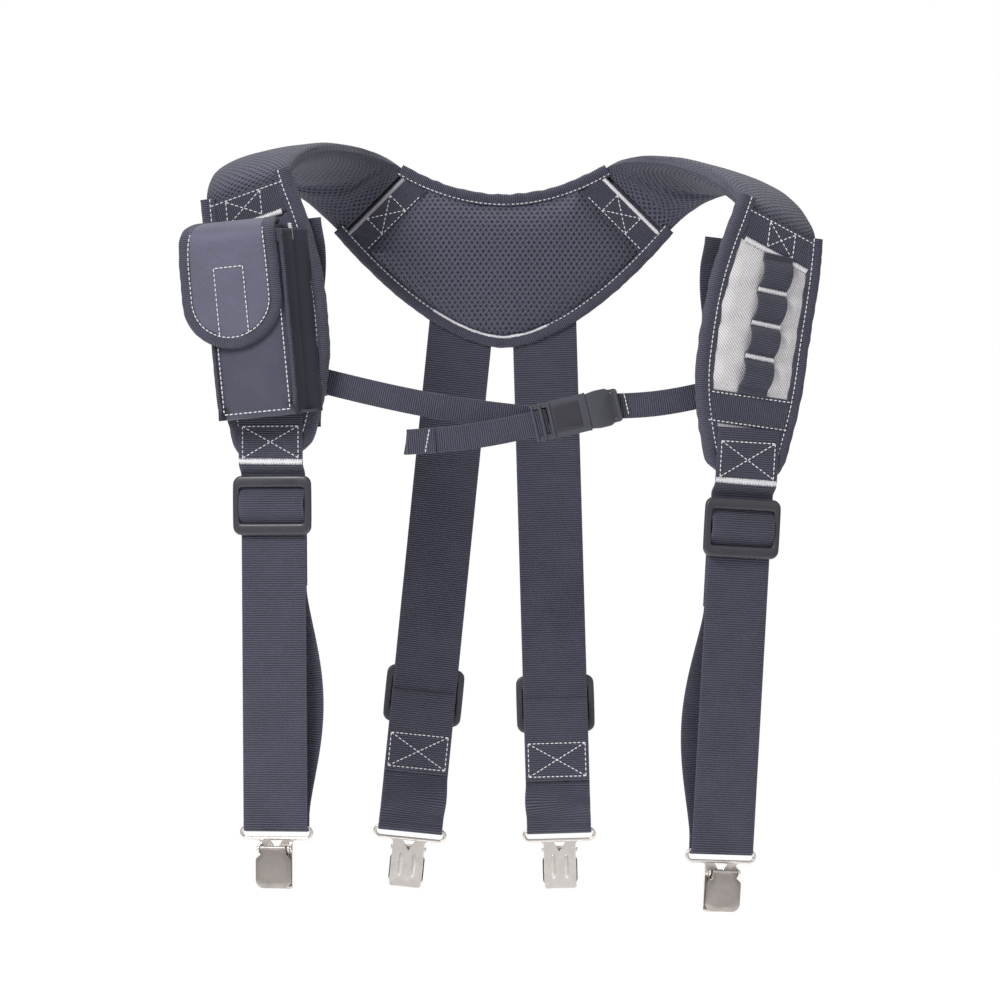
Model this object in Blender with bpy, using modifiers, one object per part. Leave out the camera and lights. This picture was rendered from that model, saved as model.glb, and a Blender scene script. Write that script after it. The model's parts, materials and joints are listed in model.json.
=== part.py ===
"""Padded work suspenders for a tool belt: back yoke, two shoulder pads, two front panels,
four webbing straps with sliders and steel clips, a phone pouch and a chest strap.

Axes: +X to the wearer's left (the right-hand side seen from the front), +Y to the rear, +Z up.
Origin: the middle of the back yoke's outer face, which lies in the plane Y = 0.
"""
import math

import bmesh
import bpy
from mathutils import Matrix, Vector

# ---------------------------------------------------------------- driving dimensions (metres)
GAP = 0.0003                    # clearance between neighbouring pieces
WEB_WIDTH = 0.050               # main webbing
WEB_THICK = 0.0015
CHEST_WEB_WIDTH = 0.019         # chest strap webbing

YOKE_TOP_X, YOKE_TOP_Z = 0.075, 0.069        # upper corner of each wing
YOKE_TIP_X, YOKE_TIP_Z = 0.129, 0.015        # lower corner of each wing
YOKE_BOTTOM_Z = -0.071
YOKE_CURVE = 1.72                            # power of the lower edge: 1 is a V, 2 a parabola
YOKE_NECK_Z = 0.048                          # lowest point of the hollow top edge
YOKE_BACKING = 0.0020                        # outer skin
YOKE_FLANGE = 0.0066                         # depth of the sewn flange in front of Y = 0
YOKE_DOME = 0.0135                           # how far the mesh cushion stands proud
BINDING_WIDTH = 0.009
STRAP_TUCK = 0.026                           # rear strap held inside the yoke

PANEL_HALF = 0.043                           # half the width of a front panel at its widest
PANEL_THICK = 0.007
BINDING_PROUD = 0.0007                       # binding stands this far proud of the panel
LEFT_YAW, RIGHT_YAW = math.radians(14), math.radians(-20)   # panels wrap round the chest
TOP_WEB_HEIGHT = 0.0175
ANCHOR_HEIGHT = {"front_left": 0.028, "front_right": 0.035}  # strap ends sewn on the panels
ANCHOR_CLEARANCE = 0.0010                    # the strap hangs at a slight angle to its panel
PANEL_DEPTH = -0.170                         # front panels, in front of the yoke's outer face
PAD_CENTRE_THICK = 0.015                     # shoulder pad
PAD_EDGE_THICK = 0.006

SLIDER_WIDTH, SLIDER_HEIGHT = 0.061, 0.045
SLIDER_BAR = 0.009                           # height of its outer bars
SLIDER_FRONT, SLIDER_REAR = -0.0060, -0.0012
SLIDER_CORNER = 0.007
CROSSBAR_Y, CROSSBAR_HALF = -0.0014, 0.0018
CROSSBAR_THICK = 0.0020
HUMP_Y = -0.0068                             # webbing over the crossbar
SEWN_END = 0.060                             # folded strap end below its slider

RING_Y = 0.0026                              # clip loop bar, behind the front run
LOOP_HALF, LOOP_HEIGHT = 0.0285, 0.011
LOOP_BAR = 0.0026
CLIP_SHEET = 0.0016
PLATE_HALF, PLATE_BOTTOM = 0.0125, -0.046
GRIP_HALF, GRIP_LOW, GRIP_HIGH = 0.0105, -0.042, -0.014   # pressed pad on the plate's back
GRIP_RAISE = 0.0004
PIN_Y, PIN_Z, PIN_RADIUS = -0.0060, -0.016, 0.00125
PIN_CLEARANCE = 0.0002
EAR_RADIUS, EAR_THICK = 0.0029, 0.0012
LEVER_HALF, LEVER_LENGTH, LEVER_SHEET = 0.0135, 0.031, 0.0012
LEVER_STANDOFF = 0.0040                      # pin axis to the lever plate's inner face

POUCH_BOTTOM, POUCH_TOP = 0.033, 0.170
POUCH_DEPTH, POUCH_WALL = 0.030, 0.0022
POUCH_X, POUCH_HALF = 0.002, 0.0295          # front face, measured across the panel
POUCH_FLARE_OUTER, POUCH_FLARE_INNER = 0.004, 0.012   # base wider than the front face
FLAP_X = -0.009
FLAP_HALF, FLAP_DROP, FLAP_THICK = 0.038, 0.082, 0.0026

BUCKLE_HALF_HEIGHT, BUCKLE_HALF_DEPTH = 0.0142, 0.0046
FEMALE_LENGTH, MALE_LENGTH = 0.042, 0.024
ARM_REACH = 0.026
BUCKLE_TILT = math.radians(13)

COLLECTION = "work_suspenders"

BLACK_WEB = (0.050, 0.050, 0.062)
BLACK_FABRIC = (0.035, 0.036, 0.046)
MESH_FABRIC = (0.028, 0.029, 0.038)
BINDING_TAPE = (0.060, 0.060, 0.072)
BLACK_PLASTIC = (0.022, 0.022, 0.026)
GREY_NYLON = (0.55, 0.55, 0.56)
NICKEL = (0.62, 0.60, 0.56)


# ---------------------------------------------------------------- scene helpers
def clear_scene():
    for obj in list(bpy.data.objects):
        bpy.data.objects.remove(obj)


def new_collection(name):
    found = bpy.data.collections.new(name)
    bpy.context.scene.collection.children.link(found)
    return found


def new_material(name, colour, roughness, metallic=0.0):
    material = bpy.data.materials.new(name)
    material.use_nodes = True
    shader = material.node_tree.nodes["Principled BSDF"]
    shader.inputs["Base Color"].default_value = (*colour, 1.0)
    shader.inputs["Roughness"].default_value = roughness
    shader.inputs["Metallic"].default_value = metallic
    return material


def add_piece(name, data, style, parent=None, matrix=None):
    """Link mesh data into the collection as one named piece with its own material."""
    colour, roughness, metallic = style
    obj = bpy.data.objects.new(name, data)
    PARTS.objects.link(obj)
    if parent is not None:
        obj.parent = parent
    obj.matrix_basis = matrix or Matrix.Identity(4)
    if not data.materials:
        data.materials.append(None)
    obj.material_slots[0].link = "OBJECT"
    obj.material_slots[0].material = new_material(name, colour, roughness, metallic)
    return obj


def add_pivot(name, matrix, parent=None):
    """An empty on a joint's axis, with its X axis along the hinge or slide."""
    pivot = bpy.data.objects.new(name, None)
    pivot.empty_display_size = 0.02
    PARTS.objects.link(pivot)
    if parent is not None:
        pivot.parent = parent
    pivot.matrix_basis = matrix
    return pivot


def working_object(name, data):
    obj = bpy.data.objects.new(name, data)
    bpy.context.scene.collection.objects.link(obj)
    return obj


def baked(obj, helpers=()):
    """Finished mesh of a working object, with its curve caps welded; the workers are removed."""
    bpy.context.view_layer.update()
    graph = bpy.context.evaluated_depsgraph_get()
    mesh = bpy.data.meshes.new_from_object(obj.evaluated_get(graph))
    mesh.name = obj.name
    bm = bmesh.new()
    bm.from_mesh(mesh)
    bmesh.ops.transform(bm, matrix=obj.matrix_world, verts=bm.verts)
    bmesh.ops.remove_doubles(bm, verts=bm.verts, dist=1e-6)
    bmesh.ops.dissolve_degenerate(bm, edges=bm.edges, dist=1e-6)
    bm.to_mesh(mesh)
    bm.free()
    for used in (obj, *helpers):
        bpy.data.objects.remove(used)
    return mesh


def join_and_cut(base, unions=(), cuts=()):
    """Boolean unions and cuts on a mesh, each from another mesh."""
    body = working_object(base.name, base)
    helpers = []
    for operation, meshes in (("UNION", unions), ("DIFFERENCE", cuts)):
        for mesh in meshes:
            helper = working_object(operation.lower(), mesh)
            helper.hide_render = True
            helper.display_type = "WIRE"
            modifier = body.modifiers.new(operation, "BOOLEAN")
            modifier.operation = operation
            modifier.object = helper
            helpers.append(helper)
    return baked(body, helpers)


# ---------------------------------------------------------------- shape helpers
def box_mesh(low, high):
    low, high = Vector(low), Vector(high)
    bm = bmesh.new()
    bmesh.ops.create_cube(bm, size=1.0)
    size = high - low
    bmesh.ops.scale(bm, vec=size, verts=bm.verts)
    bmesh.ops.translate(bm, vec=(low + high) / 2, verts=bm.verts)
    mesh = bpy.data.meshes.new("box")
    bm.to_mesh(mesh)
    bm.free()
    return mesh


def rod_mesh(radius, half_length, centre, sides=16):
    """Cylinder along X."""
    bm = bmesh.new()
    bmesh.ops.create_cone(bm, cap_ends=True, segments=sides, radius1=radius, radius2=radius,
                          depth=2 * half_length)
    turn = Matrix.Translation(centre) @ Matrix.Rotation(math.radians(90), 4, "Y")
    bmesh.ops.transform(bm, matrix=turn, verts=bm.verts)
    mesh = bpy.data.meshes.new("rod")
    bm.to_mesh(mesh)
    bm.free()
    return mesh


def flat_mesh(name, outlines, y_low, y_high):
    """Flat outline in the XZ plane, filled and extruded between two Y values.

    The first outline is the outer edge and any others are holes in it.
    """
    curve = bpy.data.curves.new(name, "CURVE")
    curve.dimensions = "2D"
    curve.fill_mode = "BOTH"
    curve.extrude = (y_high - y_low) / 2
    for outline in outlines:
        spline = curve.splines.new("POLY")
        spline.points.add(len(outline) - 1)
        for point, (x, z) in zip(spline.points, outline):
            point.co = (x, z, 0, 1)
        spline.use_cyclic_u = True
    obj = working_object(name, curve)
    middle = (y_low + y_high) / 2
    obj.matrix_world = Matrix.Translation((0, middle, 0)) @ Matrix.Rotation(math.radians(90), 4, "X")
    return baked(obj)


def grid_mesh(name, rows, columns, surface):
    """Open sheet: surface(u, v) with u and v running from 0 to 1."""
    bm = bmesh.new()
    verts = []
    for i in range(rows + 1):
        verts.append([bm.verts.new(surface(i / rows, j / columns)) for j in range(columns + 1)])
    for i in range(rows):
        for j in range(columns):
            bm.faces.new((verts[i][j], verts[i][j + 1], verts[i + 1][j + 1], verts[i + 1][j]))
    bmesh.ops.recalc_face_normals(bm, faces=bm.faces)
    mesh = bpy.data.meshes.new(name)
    bm.to_mesh(mesh)
    bm.free()
    return mesh


def sheet_mesh(name, rows, columns, surface, thickness):
    """A sheet of even thickness round the surface."""
    obj = working_object(name, grid_mesh(name, rows, columns, surface))
    solid = obj.modifiers.new("Thickness", "SOLIDIFY")
    solid.thickness = thickness
    solid.offset = 0.0
    solid.use_even_offset = True
    return baked(obj)


def skin_mesh(name, rows, columns, front, back):
    """Closed solid between two surfaces that share one grid: a loft of unlike sections."""
    bm = bmesh.new()
    layers = []
    for surface in (front, back):
        layers.append([[bm.verts.new(surface(i / rows, j / columns)) for j in range(columns + 1)]
                       for i in range(rows + 1)])
    for layer in layers:
        for i in range(rows):
            for j in range(columns):
                bm.faces.new((layer[i][j], layer[i][j + 1], layer[i + 1][j + 1], layer[i + 1][j]))
    top, bottom = layers
    rim = [(i, 0) for i in range(rows)] + [(rows, j) for j in range(columns)]
    rim += [(i, columns) for i in range(rows, 0, -1)] + [(0, j) for j in range(columns, 0, -1)]
    for (i, j), (k, m) in zip(rim, rim[1:] + rim[:1]):
        bm.faces.new((top[i][j], top[k][m], bottom[k][m], bottom[i][j]))
    bmesh.ops.recalc_face_normals(bm, faces=bm.faces)
    mesh = bpy.data.meshes.new(name)
    bm.to_mesh(mesh)
    bm.free()
    return mesh


def strip_mesh(name, path, width, thickness=WEB_THICK):
    """Webbing strip that follows a path of (y, z) points; its width lies along X."""
    def surface(u, v):
        y, z = path[round(u * (len(path) - 1))]
        return ((v - 0.5) * width, y, z)
    return sheet_mesh(name, len(path) - 1, 1, surface, thickness)


def arc(centre, radius, start, end, steps):
    """Points (a, b) on an arc, angles in degrees."""
    points = []
    for i in range(steps + 1):
        angle = math.radians(start + (end - start) * i / steps)
        points.append((centre[0] + radius * math.cos(angle), centre[1] + radius * math.sin(angle)))
    return points


def rounded_rectangle(x0, z0, x1, z1, radius, steps=4):
    points = []
    for cx, cz, start in ((x1, z1, 0), (x0, z1, 90), (x0, z0, 180), (x1, z0, 270)):
        inset_x = cx - radius if cx == x1 else cx + radius
        inset_z = cz - radius if cz == z1 else cz + radius
        points += arc((inset_x, inset_z), radius, start, start + 90, steps)
    return points


def inset_outline(points, distance):
    """Closed outline moved inwards by a distance along its corner bisectors."""
    count = len(points)
    area = sum(points[i][0] * points[(i + 1) % count][1] - points[(i + 1) % count][0] * points[i][1]
               for i in range(count))
    turn = 1.0 if area > 0 else -1.0
    result = []
    for i in range(count):
        before = Vector(points[i]) - Vector(points[i - 1])
        after = Vector(points[(i + 1) % count]) - Vector(points[i])
        normal_a = Vector((-before.y, before.x)).normalized() * turn
        normal_b = Vector((-after.y, after.x)).normalized() * turn
        bisector = (normal_a + normal_b).normalized()
        reach = distance / max(0.35, bisector.dot(normal_a))
        moved = Vector(points[i]) + bisector * reach
        result.append((moved.x, moved.y))
    return result


def bezier(p0, p1, p2, p3, t):
    s = 1 - t
    return p0 * s**3 + p1 * (3 * s * s * t) + p2 * (3 * s * t * t) + p3 * t**3


def frame_matrix(origin, up, inward):
    """Local frame with Z up along a strap or panel and Y towards the wearer."""
    z_axis = Vector(up).normalized()
    x_axis = Vector(inward).cross(z_axis).normalized()
    y_axis = z_axis.cross(x_axis)
    matrix = Matrix((x_axis, y_axis, z_axis)).transposed().to_4x4()
    matrix.translation = origin
    return matrix


WEBBING = (BLACK_WEB, 0.75, 0.0)
FABRIC = (BLACK_FABRIC, 0.70, 0.0)
AIR_MESH = (MESH_FABRIC, 0.80, 0.0)
BINDING = (BINDING_TAPE, 0.72, 0.0)
PLASTIC = (BLACK_PLASTIC, 0.38, 0.0)
NYLON = (GREY_NYLON, 0.65, 0.0)
STEEL = (NICKEL, 0.28, 1.0)


# ---------------------------------------------------------------- back yoke
def yoke_bottom(x):
    return YOKE_BOTTOM_Z + (YOKE_TIP_Z - YOKE_BOTTOM_Z) * (abs(x) / YOKE_TIP_X) ** YOKE_CURVE


def yoke_top(x):
    if abs(x) > YOKE_TOP_X:
        return YOKE_TOP_Z - (abs(x) - YOKE_TOP_X)
    return YOKE_NECK_Z + (YOKE_TOP_Z - YOKE_NECK_Z) * (x / YOKE_TOP_X) ** 2


def yoke_outline(bottom_steps=26, top_steps=8):
    points = []
    for i in range(bottom_steps + 1):
        x = YOKE_TIP_X * (2 * i / bottom_steps - 1)
        points.append((x, yoke_bottom(x)))
    for i in range(top_steps + 1):
        x = YOKE_TOP_X * (1 - 2 * i / top_steps)
        points.append((x, yoke_top(x)))
    return points


END_WEB_WIDTH = 0.0225
CUSHION_END = 0.0116            # from the end webbing's outer edge line to the cushion's foot


def cushion_dome(x, z):
    """Height of the mesh cushion over its flange: zero on the wing ends and the rim."""
    rise = z - yoke_bottom(x) - BINDING_WIDTH
    fall = YOKE_NECK_Z + (YOKE_TOP_Z - YOKE_NECK_Z) * (x / YOKE_TOP_X) ** 2 - BINDING_WIDTH - z
    corner = YOKE_TOP_X + YOKE_TOP_Z - (CUSHION_END + END_WEB_WIDTH) * math.sqrt(2)
    end = (corner - abs(x) - z) / math.sqrt(2)
    reach = max(0.0, min(rise, fall, end))
    return YOKE_DOME * (1 - math.exp(-reach / 0.009))


def build_yoke(strap_frames):
    outline = yoke_outline()
    backing = flat_mesh("yoke_backing", [outline], -YOKE_BACKING, 0.0)
    add_piece("yoke_backing", backing, FABRIC)

    face_y = -(YOKE_BACKING + GAP)
    inner = inset_outline(outline, BINDING_WIDTH)
    rim = flat_mesh("yoke_binding", [outline, inner], -YOKE_FLANGE, face_y)
    slots = []
    for matrix in strap_frames:
        slot = box_mesh((-WEB_WIDTH / 2 - GAP, -0.0030, -0.030),
                        (WEB_WIDTH / 2 + GAP, 0.0012, STRAP_TUCK + GAP))
        slot.transform(matrix)
        slots.append(slot)
    add_piece("yoke_binding", join_and_cut(rim, cuts=slots), BINDING)

    half = YOKE_TIP_X - 2.35 * BINDING_WIDTH
    margin = BINDING_WIDTH + 2 * GAP

    def place(u, v):
        x = half * (2 * u - 1)
        steep = YOKE_CURVE * (YOKE_TIP_Z - YOKE_BOTTOM_Z) / YOKE_TIP_X
        low = yoke_bottom(x) + margin * math.hypot(1, steep * (abs(x) / YOKE_TIP_X) ** (YOKE_CURVE - 1))
        slope = 1.414 if abs(x) > YOKE_TOP_X - 0.004 else 1.05
        high = max(low + 0.002, yoke_top(x) - margin * slope)
        return x, low + (high - low) * v

    def front(u, v):
        x, z = place(u, v)
        return (x, -YOKE_FLANGE - cushion_dome(x, z), z)

    def back(u, v):
        x, z = place(u, v)
        return (x, face_y, z)

    cushion = skin_mesh("yoke_cushion", 26, 10, front, back)
    slots = []
    for matrix in strap_frames:
        slot = box_mesh((-WEB_WIDTH / 2 - GAP, -0.0030, -0.030),
                        (WEB_WIDTH / 2 + GAP, 0.0012, STRAP_TUCK + GAP))
        slot.transform(matrix)
        slots.append(slot)
    add_piece("yoke_cushion", join_and_cut(cushion, cuts=slots), AIR_MESH)

    # webbing across each wing end, parallel to the end edge
    along = Vector((1, -1)).normalized()
    across = Vector((-1, -1)).normalized()
    corner = Vector((YOKE_TOP_X, YOKE_TOP_Z))
    near = corner + across * (BINDING_WIDTH * 0.25)
    for side, sign in (("left", -1), ("right", 1)):
        start, stop = 0.009, 0.067
        corners = [near + along * start, near + along * stop,
                   near + across * END_WEB_WIDTH + along * (stop - 0.006),
                   near + across * END_WEB_WIDTH + along * (start + 0.006)]
        points = [(sign * p.x, p.y) for p in corners]
        y_front = -YOKE_FLANGE - GAP
        web = flat_mesh(f"yoke_{side}_end_web", [points], y_front - WEB_THICK, y_front)
        add_piece(f"yoke_{side}_end_web", web, WEBBING)


# ---------------------------------------------------------------- front panels
class Panel:
    """Outline and frame of one front panel; `inner` is +1 where +x points to the other panel."""

    def __init__(self, side, inner, yaw, bottom, top, top_slope, offset):
        self.side, self.inner = side, inner
        bottom, top = Vector(bottom), Vector(top)
        self.length = (top - bottom).length
        self.slope, self.offset = top_slope * inner, offset * inner
        self.inward = (math.sin(yaw), math.cos(yaw), 0)
        self.matrix = frame_matrix(bottom, top - bottom, self.inward)

    def half_width(self, z):
        swell = math.sin(math.pi / 2 * min(z / (0.45 * self.length), 1.0))
        taper = max(0.0, (z / self.length - 0.62) / 0.38)
        return 0.027 + (PANEL_HALF - 0.027) * swell - 0.007 * taper**2

    def centre(self, z):
        return self.offset * math.sin(math.pi * max(0.0, min(z / self.length, 1.0)))

    def top(self, x):
        return self.length + self.slope * x

    def side_point(self, sign, t, inset=0.0):
        """Point on one long edge; t runs from the bottom (0) to the sloping top edge (1)."""
        x_top = self.centre(self.length) + sign * self.half_width(self.length)
        z = t * self.top(x_top)
        return (self.centre(z) + sign * (self.half_width(z) - inset), z)

    def below_top(self, sign, drop, inset):
        """Point a set distance under the sloping top edge and in from one long edge."""
        x = self.centre(self.length) + sign * (self.half_width(self.length) - inset)
        z = self.top(x) - drop
        return (self.centre(z) + sign * (self.half_width(z) - inset), z)

    def outline(self, steps=10):
        right = [self.side_point(1, i / steps) for i in range(steps + 1)]
        left = [self.side_point(-1, i / steps) for i in range(steps, -1, -1)]
        return right + left

    def band(self, z_low, z_high, inset, steps=5):
        """Outline of a patch across the panel; z_high is the height of its +x and -x ends."""
        points = []
        for sign, order in ((1, range(steps + 1)), (-1, range(steps, -1, -1))):
            top = z_high[0] if sign > 0 else z_high[1]
            for i in order:
                z = z_low + (top - z_low) * i / steps
                x = self.centre(z) + sign * (self.half_width(z) - inset)
                points.append((x, z))
        return points


def build_panel(panel):
    half = PANEL_THICK / 2
    outline = panel.outline()
    inner = inset_outline(outline, BINDING_WIDTH)
    hollow = inset_outline(outline, BINDING_WIDTH - GAP)
    pad = flat_mesh("pad", [inner], -half, half)
    add_piece(f"{panel.side}_panel_pad", pad, FABRIC, matrix=panel.matrix)
    proud = half + BINDING_PROUD
    rim = flat_mesh("rim", [outline, hollow], -proud, proud)
    add_piece(f"{panel.side}_panel_binding", rim, BINDING, matrix=panel.matrix)

    margin = BINDING_WIDTH * 1.1
    upper, lower = margin, margin + TOP_WEB_HEIGHT
    corners = [panel.below_top(1, lower, margin), panel.below_top(1, upper, margin),
               panel.below_top(-1, upper, margin), panel.below_top(-1, lower, margin)]
    face = -half - GAP
    web = flat_mesh("top_web", [corners], face - WEB_THICK, face)
    add_piece(f"{panel.side}_panel_top_web", web, WEBBING, matrix=panel.matrix)


def build_tool_panel(panel):
    """Grey nylon face, tool loops and the dark band of the right-hand panel."""
    face = -PANEL_THICK / 2 - GAP
    margin = BINDING_WIDTH + 2 * GAP
    loop_low, loop_high = 0.064, 0.170
    drop = TOP_WEB_HEIGHT + 1.25 * BINDING_WIDTH
    cap = [panel.below_top(sign, drop, margin)[1] for sign in (1, -1)]
    grey = flat_mesh("grey", [panel.band(loop_low + GAP, cap, margin)], face - 0.0012, face)
    add_piece("right_panel_nylon_face", grey, NYLON, matrix=panel.matrix)
    band = flat_mesh("band", [panel.band(0.040, [loop_low - GAP] * 2, margin, 2)], face - WEB_THICK, face)
    add_piece("right_panel_lower_band", band, WEBBING, matrix=panel.matrix)

    loops, bulge, tack = 4, 0.009, 0.004
    base = face - 0.0012 - GAP - WEB_THICK / 2 - GAP
    pitch = (loop_high - loop_low - tack) / loops
    path = [(base, loop_low + GAP)]
    for i in range(loops):
        foot = loop_low + tack + pitch * i
        for j in range(9):
            height = math.sin(math.pi * j / 8) ** 0.6 if 0 < j < 8 else 0.0
            path.append((base - bulge * height, foot + (pitch - tack) * j / 8))
    path.append((base, path[-1][1] + tack))
    strip = strip_mesh("tool_loop_web", path, 0.024)
    low_x, lean = panel.centre(0.11) + 0.0015, math.radians(3.5)
    shift = Matrix.Translation((low_x, 0, loop_low)) @ Matrix.Rotation(lean, 4, "Y")
    shift = shift @ Matrix.Translation((0, 0, -loop_low))
    add_piece("tool_loop_web", strip, WEBBING, matrix=panel.matrix @ shift)


def build_pouch(panel):
    """Phone pouch on the left-hand panel: an open-topped box with a flap over it."""
    back_y = -PANEL_THICK / 2 - WEB_THICK - 2 * GAP
    front_y = back_y - POUCH_DEPTH

    def pouch_point(u, v, w):
        flare = POUCH_FLARE_INNER if u > 0.5 else POUCH_FLARE_OUTER
        x = POUCH_X + (2 * u - 1) * (POUCH_HALF + flare * (1 - w))
        z = POUCH_BOTTOM + (POUCH_TOP - POUCH_BOTTOM) * v + 0.004 * w * (1 - v)
        return (x, back_y + (front_y - back_y) * w, z)

    shell = skin_mesh("pouch", 2, 4, lambda u, v: pouch_point(u, v, 1.0),
                      lambda u, v: pouch_point(u, v, 0.0))
    cavity = box_mesh((POUCH_X - POUCH_HALF + POUCH_WALL, front_y + POUCH_WALL,
                       POUCH_BOTTOM + 0.006),
                      (POUCH_X + POUCH_HALF - POUCH_WALL, back_y - POUCH_WALL, POUCH_TOP + 0.02))
    add_piece("pouch_body", join_and_cut(shell, cuts=[cavity]), FABRIC, matrix=panel.matrix)

    patch_half, patch_low, patch_high = 0.013, 0.088, 0.150
    patch_y = front_y - GAP
    hook = flat_mesh("hook", [rounded_rectangle(FLAP_X - patch_half, patch_low,
                                                FLAP_X + patch_half, patch_high, 0.001, 1)],
                     patch_y - 0.001, patch_y)
    add_piece("pouch_hook_patch", hook, FABRIC, matrix=panel.matrix)

    # flap: hinged on the panel above the pouch, over the top and down the front
    hinge = Vector((FLAP_X, back_y - 0.0045, POUCH_TOP + 0.008))
    pivot = add_pivot("pivot_pouch_flap", panel.matrix @ Matrix.Translation(hinge))
    hang_y = patch_y - 0.001 - GAP - 0.001 - GAP - FLAP_THICK / 2 - hinge.y
    bend = 0.010
    path = [(-0.0004, 0.0), (-0.010, 0.001), (hang_y + bend, 0.0015)]
    path += arc((hang_y + bend, 0.0015 - bend), bend, 90, 180, 4)[1:]
    drop_start = path[-1][1]
    drop_steps = 12
    for i in range(1, drop_steps + 1):
        path.append((hang_y, drop_start - FLAP_DROP * i / drop_steps))
    tip_z = path[-1][1]

    def flap_surface(u, v):
        y, z = path[round(u * (len(path) - 1))]
        rise = z - tip_z
        half = FLAP_HALF
        if rise < FLAP_HALF * 0.92:
            half *= max(0.30, math.sqrt(max(0.0, 1 - (1 - rise / (FLAP_HALF * 0.92)) ** 2)))
        return ((2 * v - 1) * half, y, z)

    flap = sheet_mesh("pouch_flap", len(path) - 1, 4, flap_surface, FLAP_THICK)
    add_piece("pouch_flap", flap, FABRIC, parent=pivot)
    loop_y = hang_y + FLAP_THICK / 2 + GAP
    local_low, local_high = patch_low - hinge.z - 0.002, patch_high - hinge.z - 0.002
    loop = flat_mesh("loop", [rounded_rectangle(-patch_half, local_low, patch_half, local_high,
                                                0.001, 1)], loop_y, loop_y + 0.001)
    add_piece("pouch_loop_patch", loop, FABRIC, parent=pivot)


# ---------------------------------------------------------------- shoulder pads
# pull of each pad's outer edge off the yoke and onto the panel, then of its neck edge onto the panel
SHOULDER_PULL = {"left": (0.086, 0.046, 0.028), "right": (0.096, 0.024, 0.018)}


def build_shoulder_pad(panel, sign):
    """Padded tube from the yoke's wing over the shoulder to a front panel's top edge."""
    outward = Vector((sign * 0.7071, 0, 0.7071))
    middle_y = -YOKE_FLANGE / 2
    top_corner = Vector((sign * YOKE_TOP_X, middle_y, YOKE_TOP_Z)) + outward * 2 * GAP
    tip_corner = Vector((sign * YOKE_TIP_X, middle_y, YOKE_TIP_Z)) + outward * 2 * GAP
    inset = 0.0035
    run = (tip_corner - top_corner).normalized()
    up = panel.matrix.col[2].xyz
    inward = panel.matrix.col[1].xyz

    def panel_corner(which):
        x = panel.centre(panel.length) + which * (panel.half_width(panel.length) - inset)
        return panel.matrix @ Vector((x, 0, panel.top(x))) + up * 4 * GAP

    arm_reach, arm_drop, neck_drop = SHOULDER_PULL[panel.side]
    neck = (top_corner + run * inset, 0.035, panel_corner(panel.inner), neck_drop)
    arm = (tip_corner - run * inset, arm_reach, panel_corner(-panel.inner), arm_drop)

    def edge(data, t):
        start, reach, end, drop = data
        return bezier(start, start + outward * reach, end + up * drop, end, t)

    def middle(u, v):
        return edge(arm, u).lerp(edge(neck, u), v)

    def offset(u, v, side):
        step = 0.01
        low, high = max(0.0, u - step), min(1.0, u + step)
        along = middle(high, v) - middle(low, v)
        across = middle(u, 1.0) - middle(u, 0.0)
        normal = along.cross(across).normalized()
        start_share, end_share = max(0.0, 1 - u / 0.15), max(0.0, 1 - (1 - u) / 0.15)
        for share, fixed in ((start_share, Vector((0, 1, 0))), (end_share, inward)):
            if normal.dot(fixed) < 0:
                fixed = -fixed
            normal = normal.lerp(fixed, share).normalized()
        fullness = math.sin(math.pi * min(1.0, max(0.0, (u - 0.0) / 0.12)) / 2)
        fullness = min(fullness, math.sin(math.pi * min(1.0, (1.0 - u) / 0.12) / 2))
        crown = math.sqrt(max(0.0, 1 - (2 * v - 1) ** 2))
        extra = (PAD_CENTRE_THICK - PAD_EDGE_THICK) * crown * (0.25 + 0.75 * fullness)
        return middle(u, v) + normal * side * (PAD_EDGE_THICK + extra) / 2

    pad = skin_mesh(f"{panel.side}_shoulder_pad", 20, 6, lambda u, v: offset(u, v, 1),
                    lambda u, v: offset(u, v, -1))
    add_piece(f"{panel.side}_shoulder_pad", pad, AIR_MESH)


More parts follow.
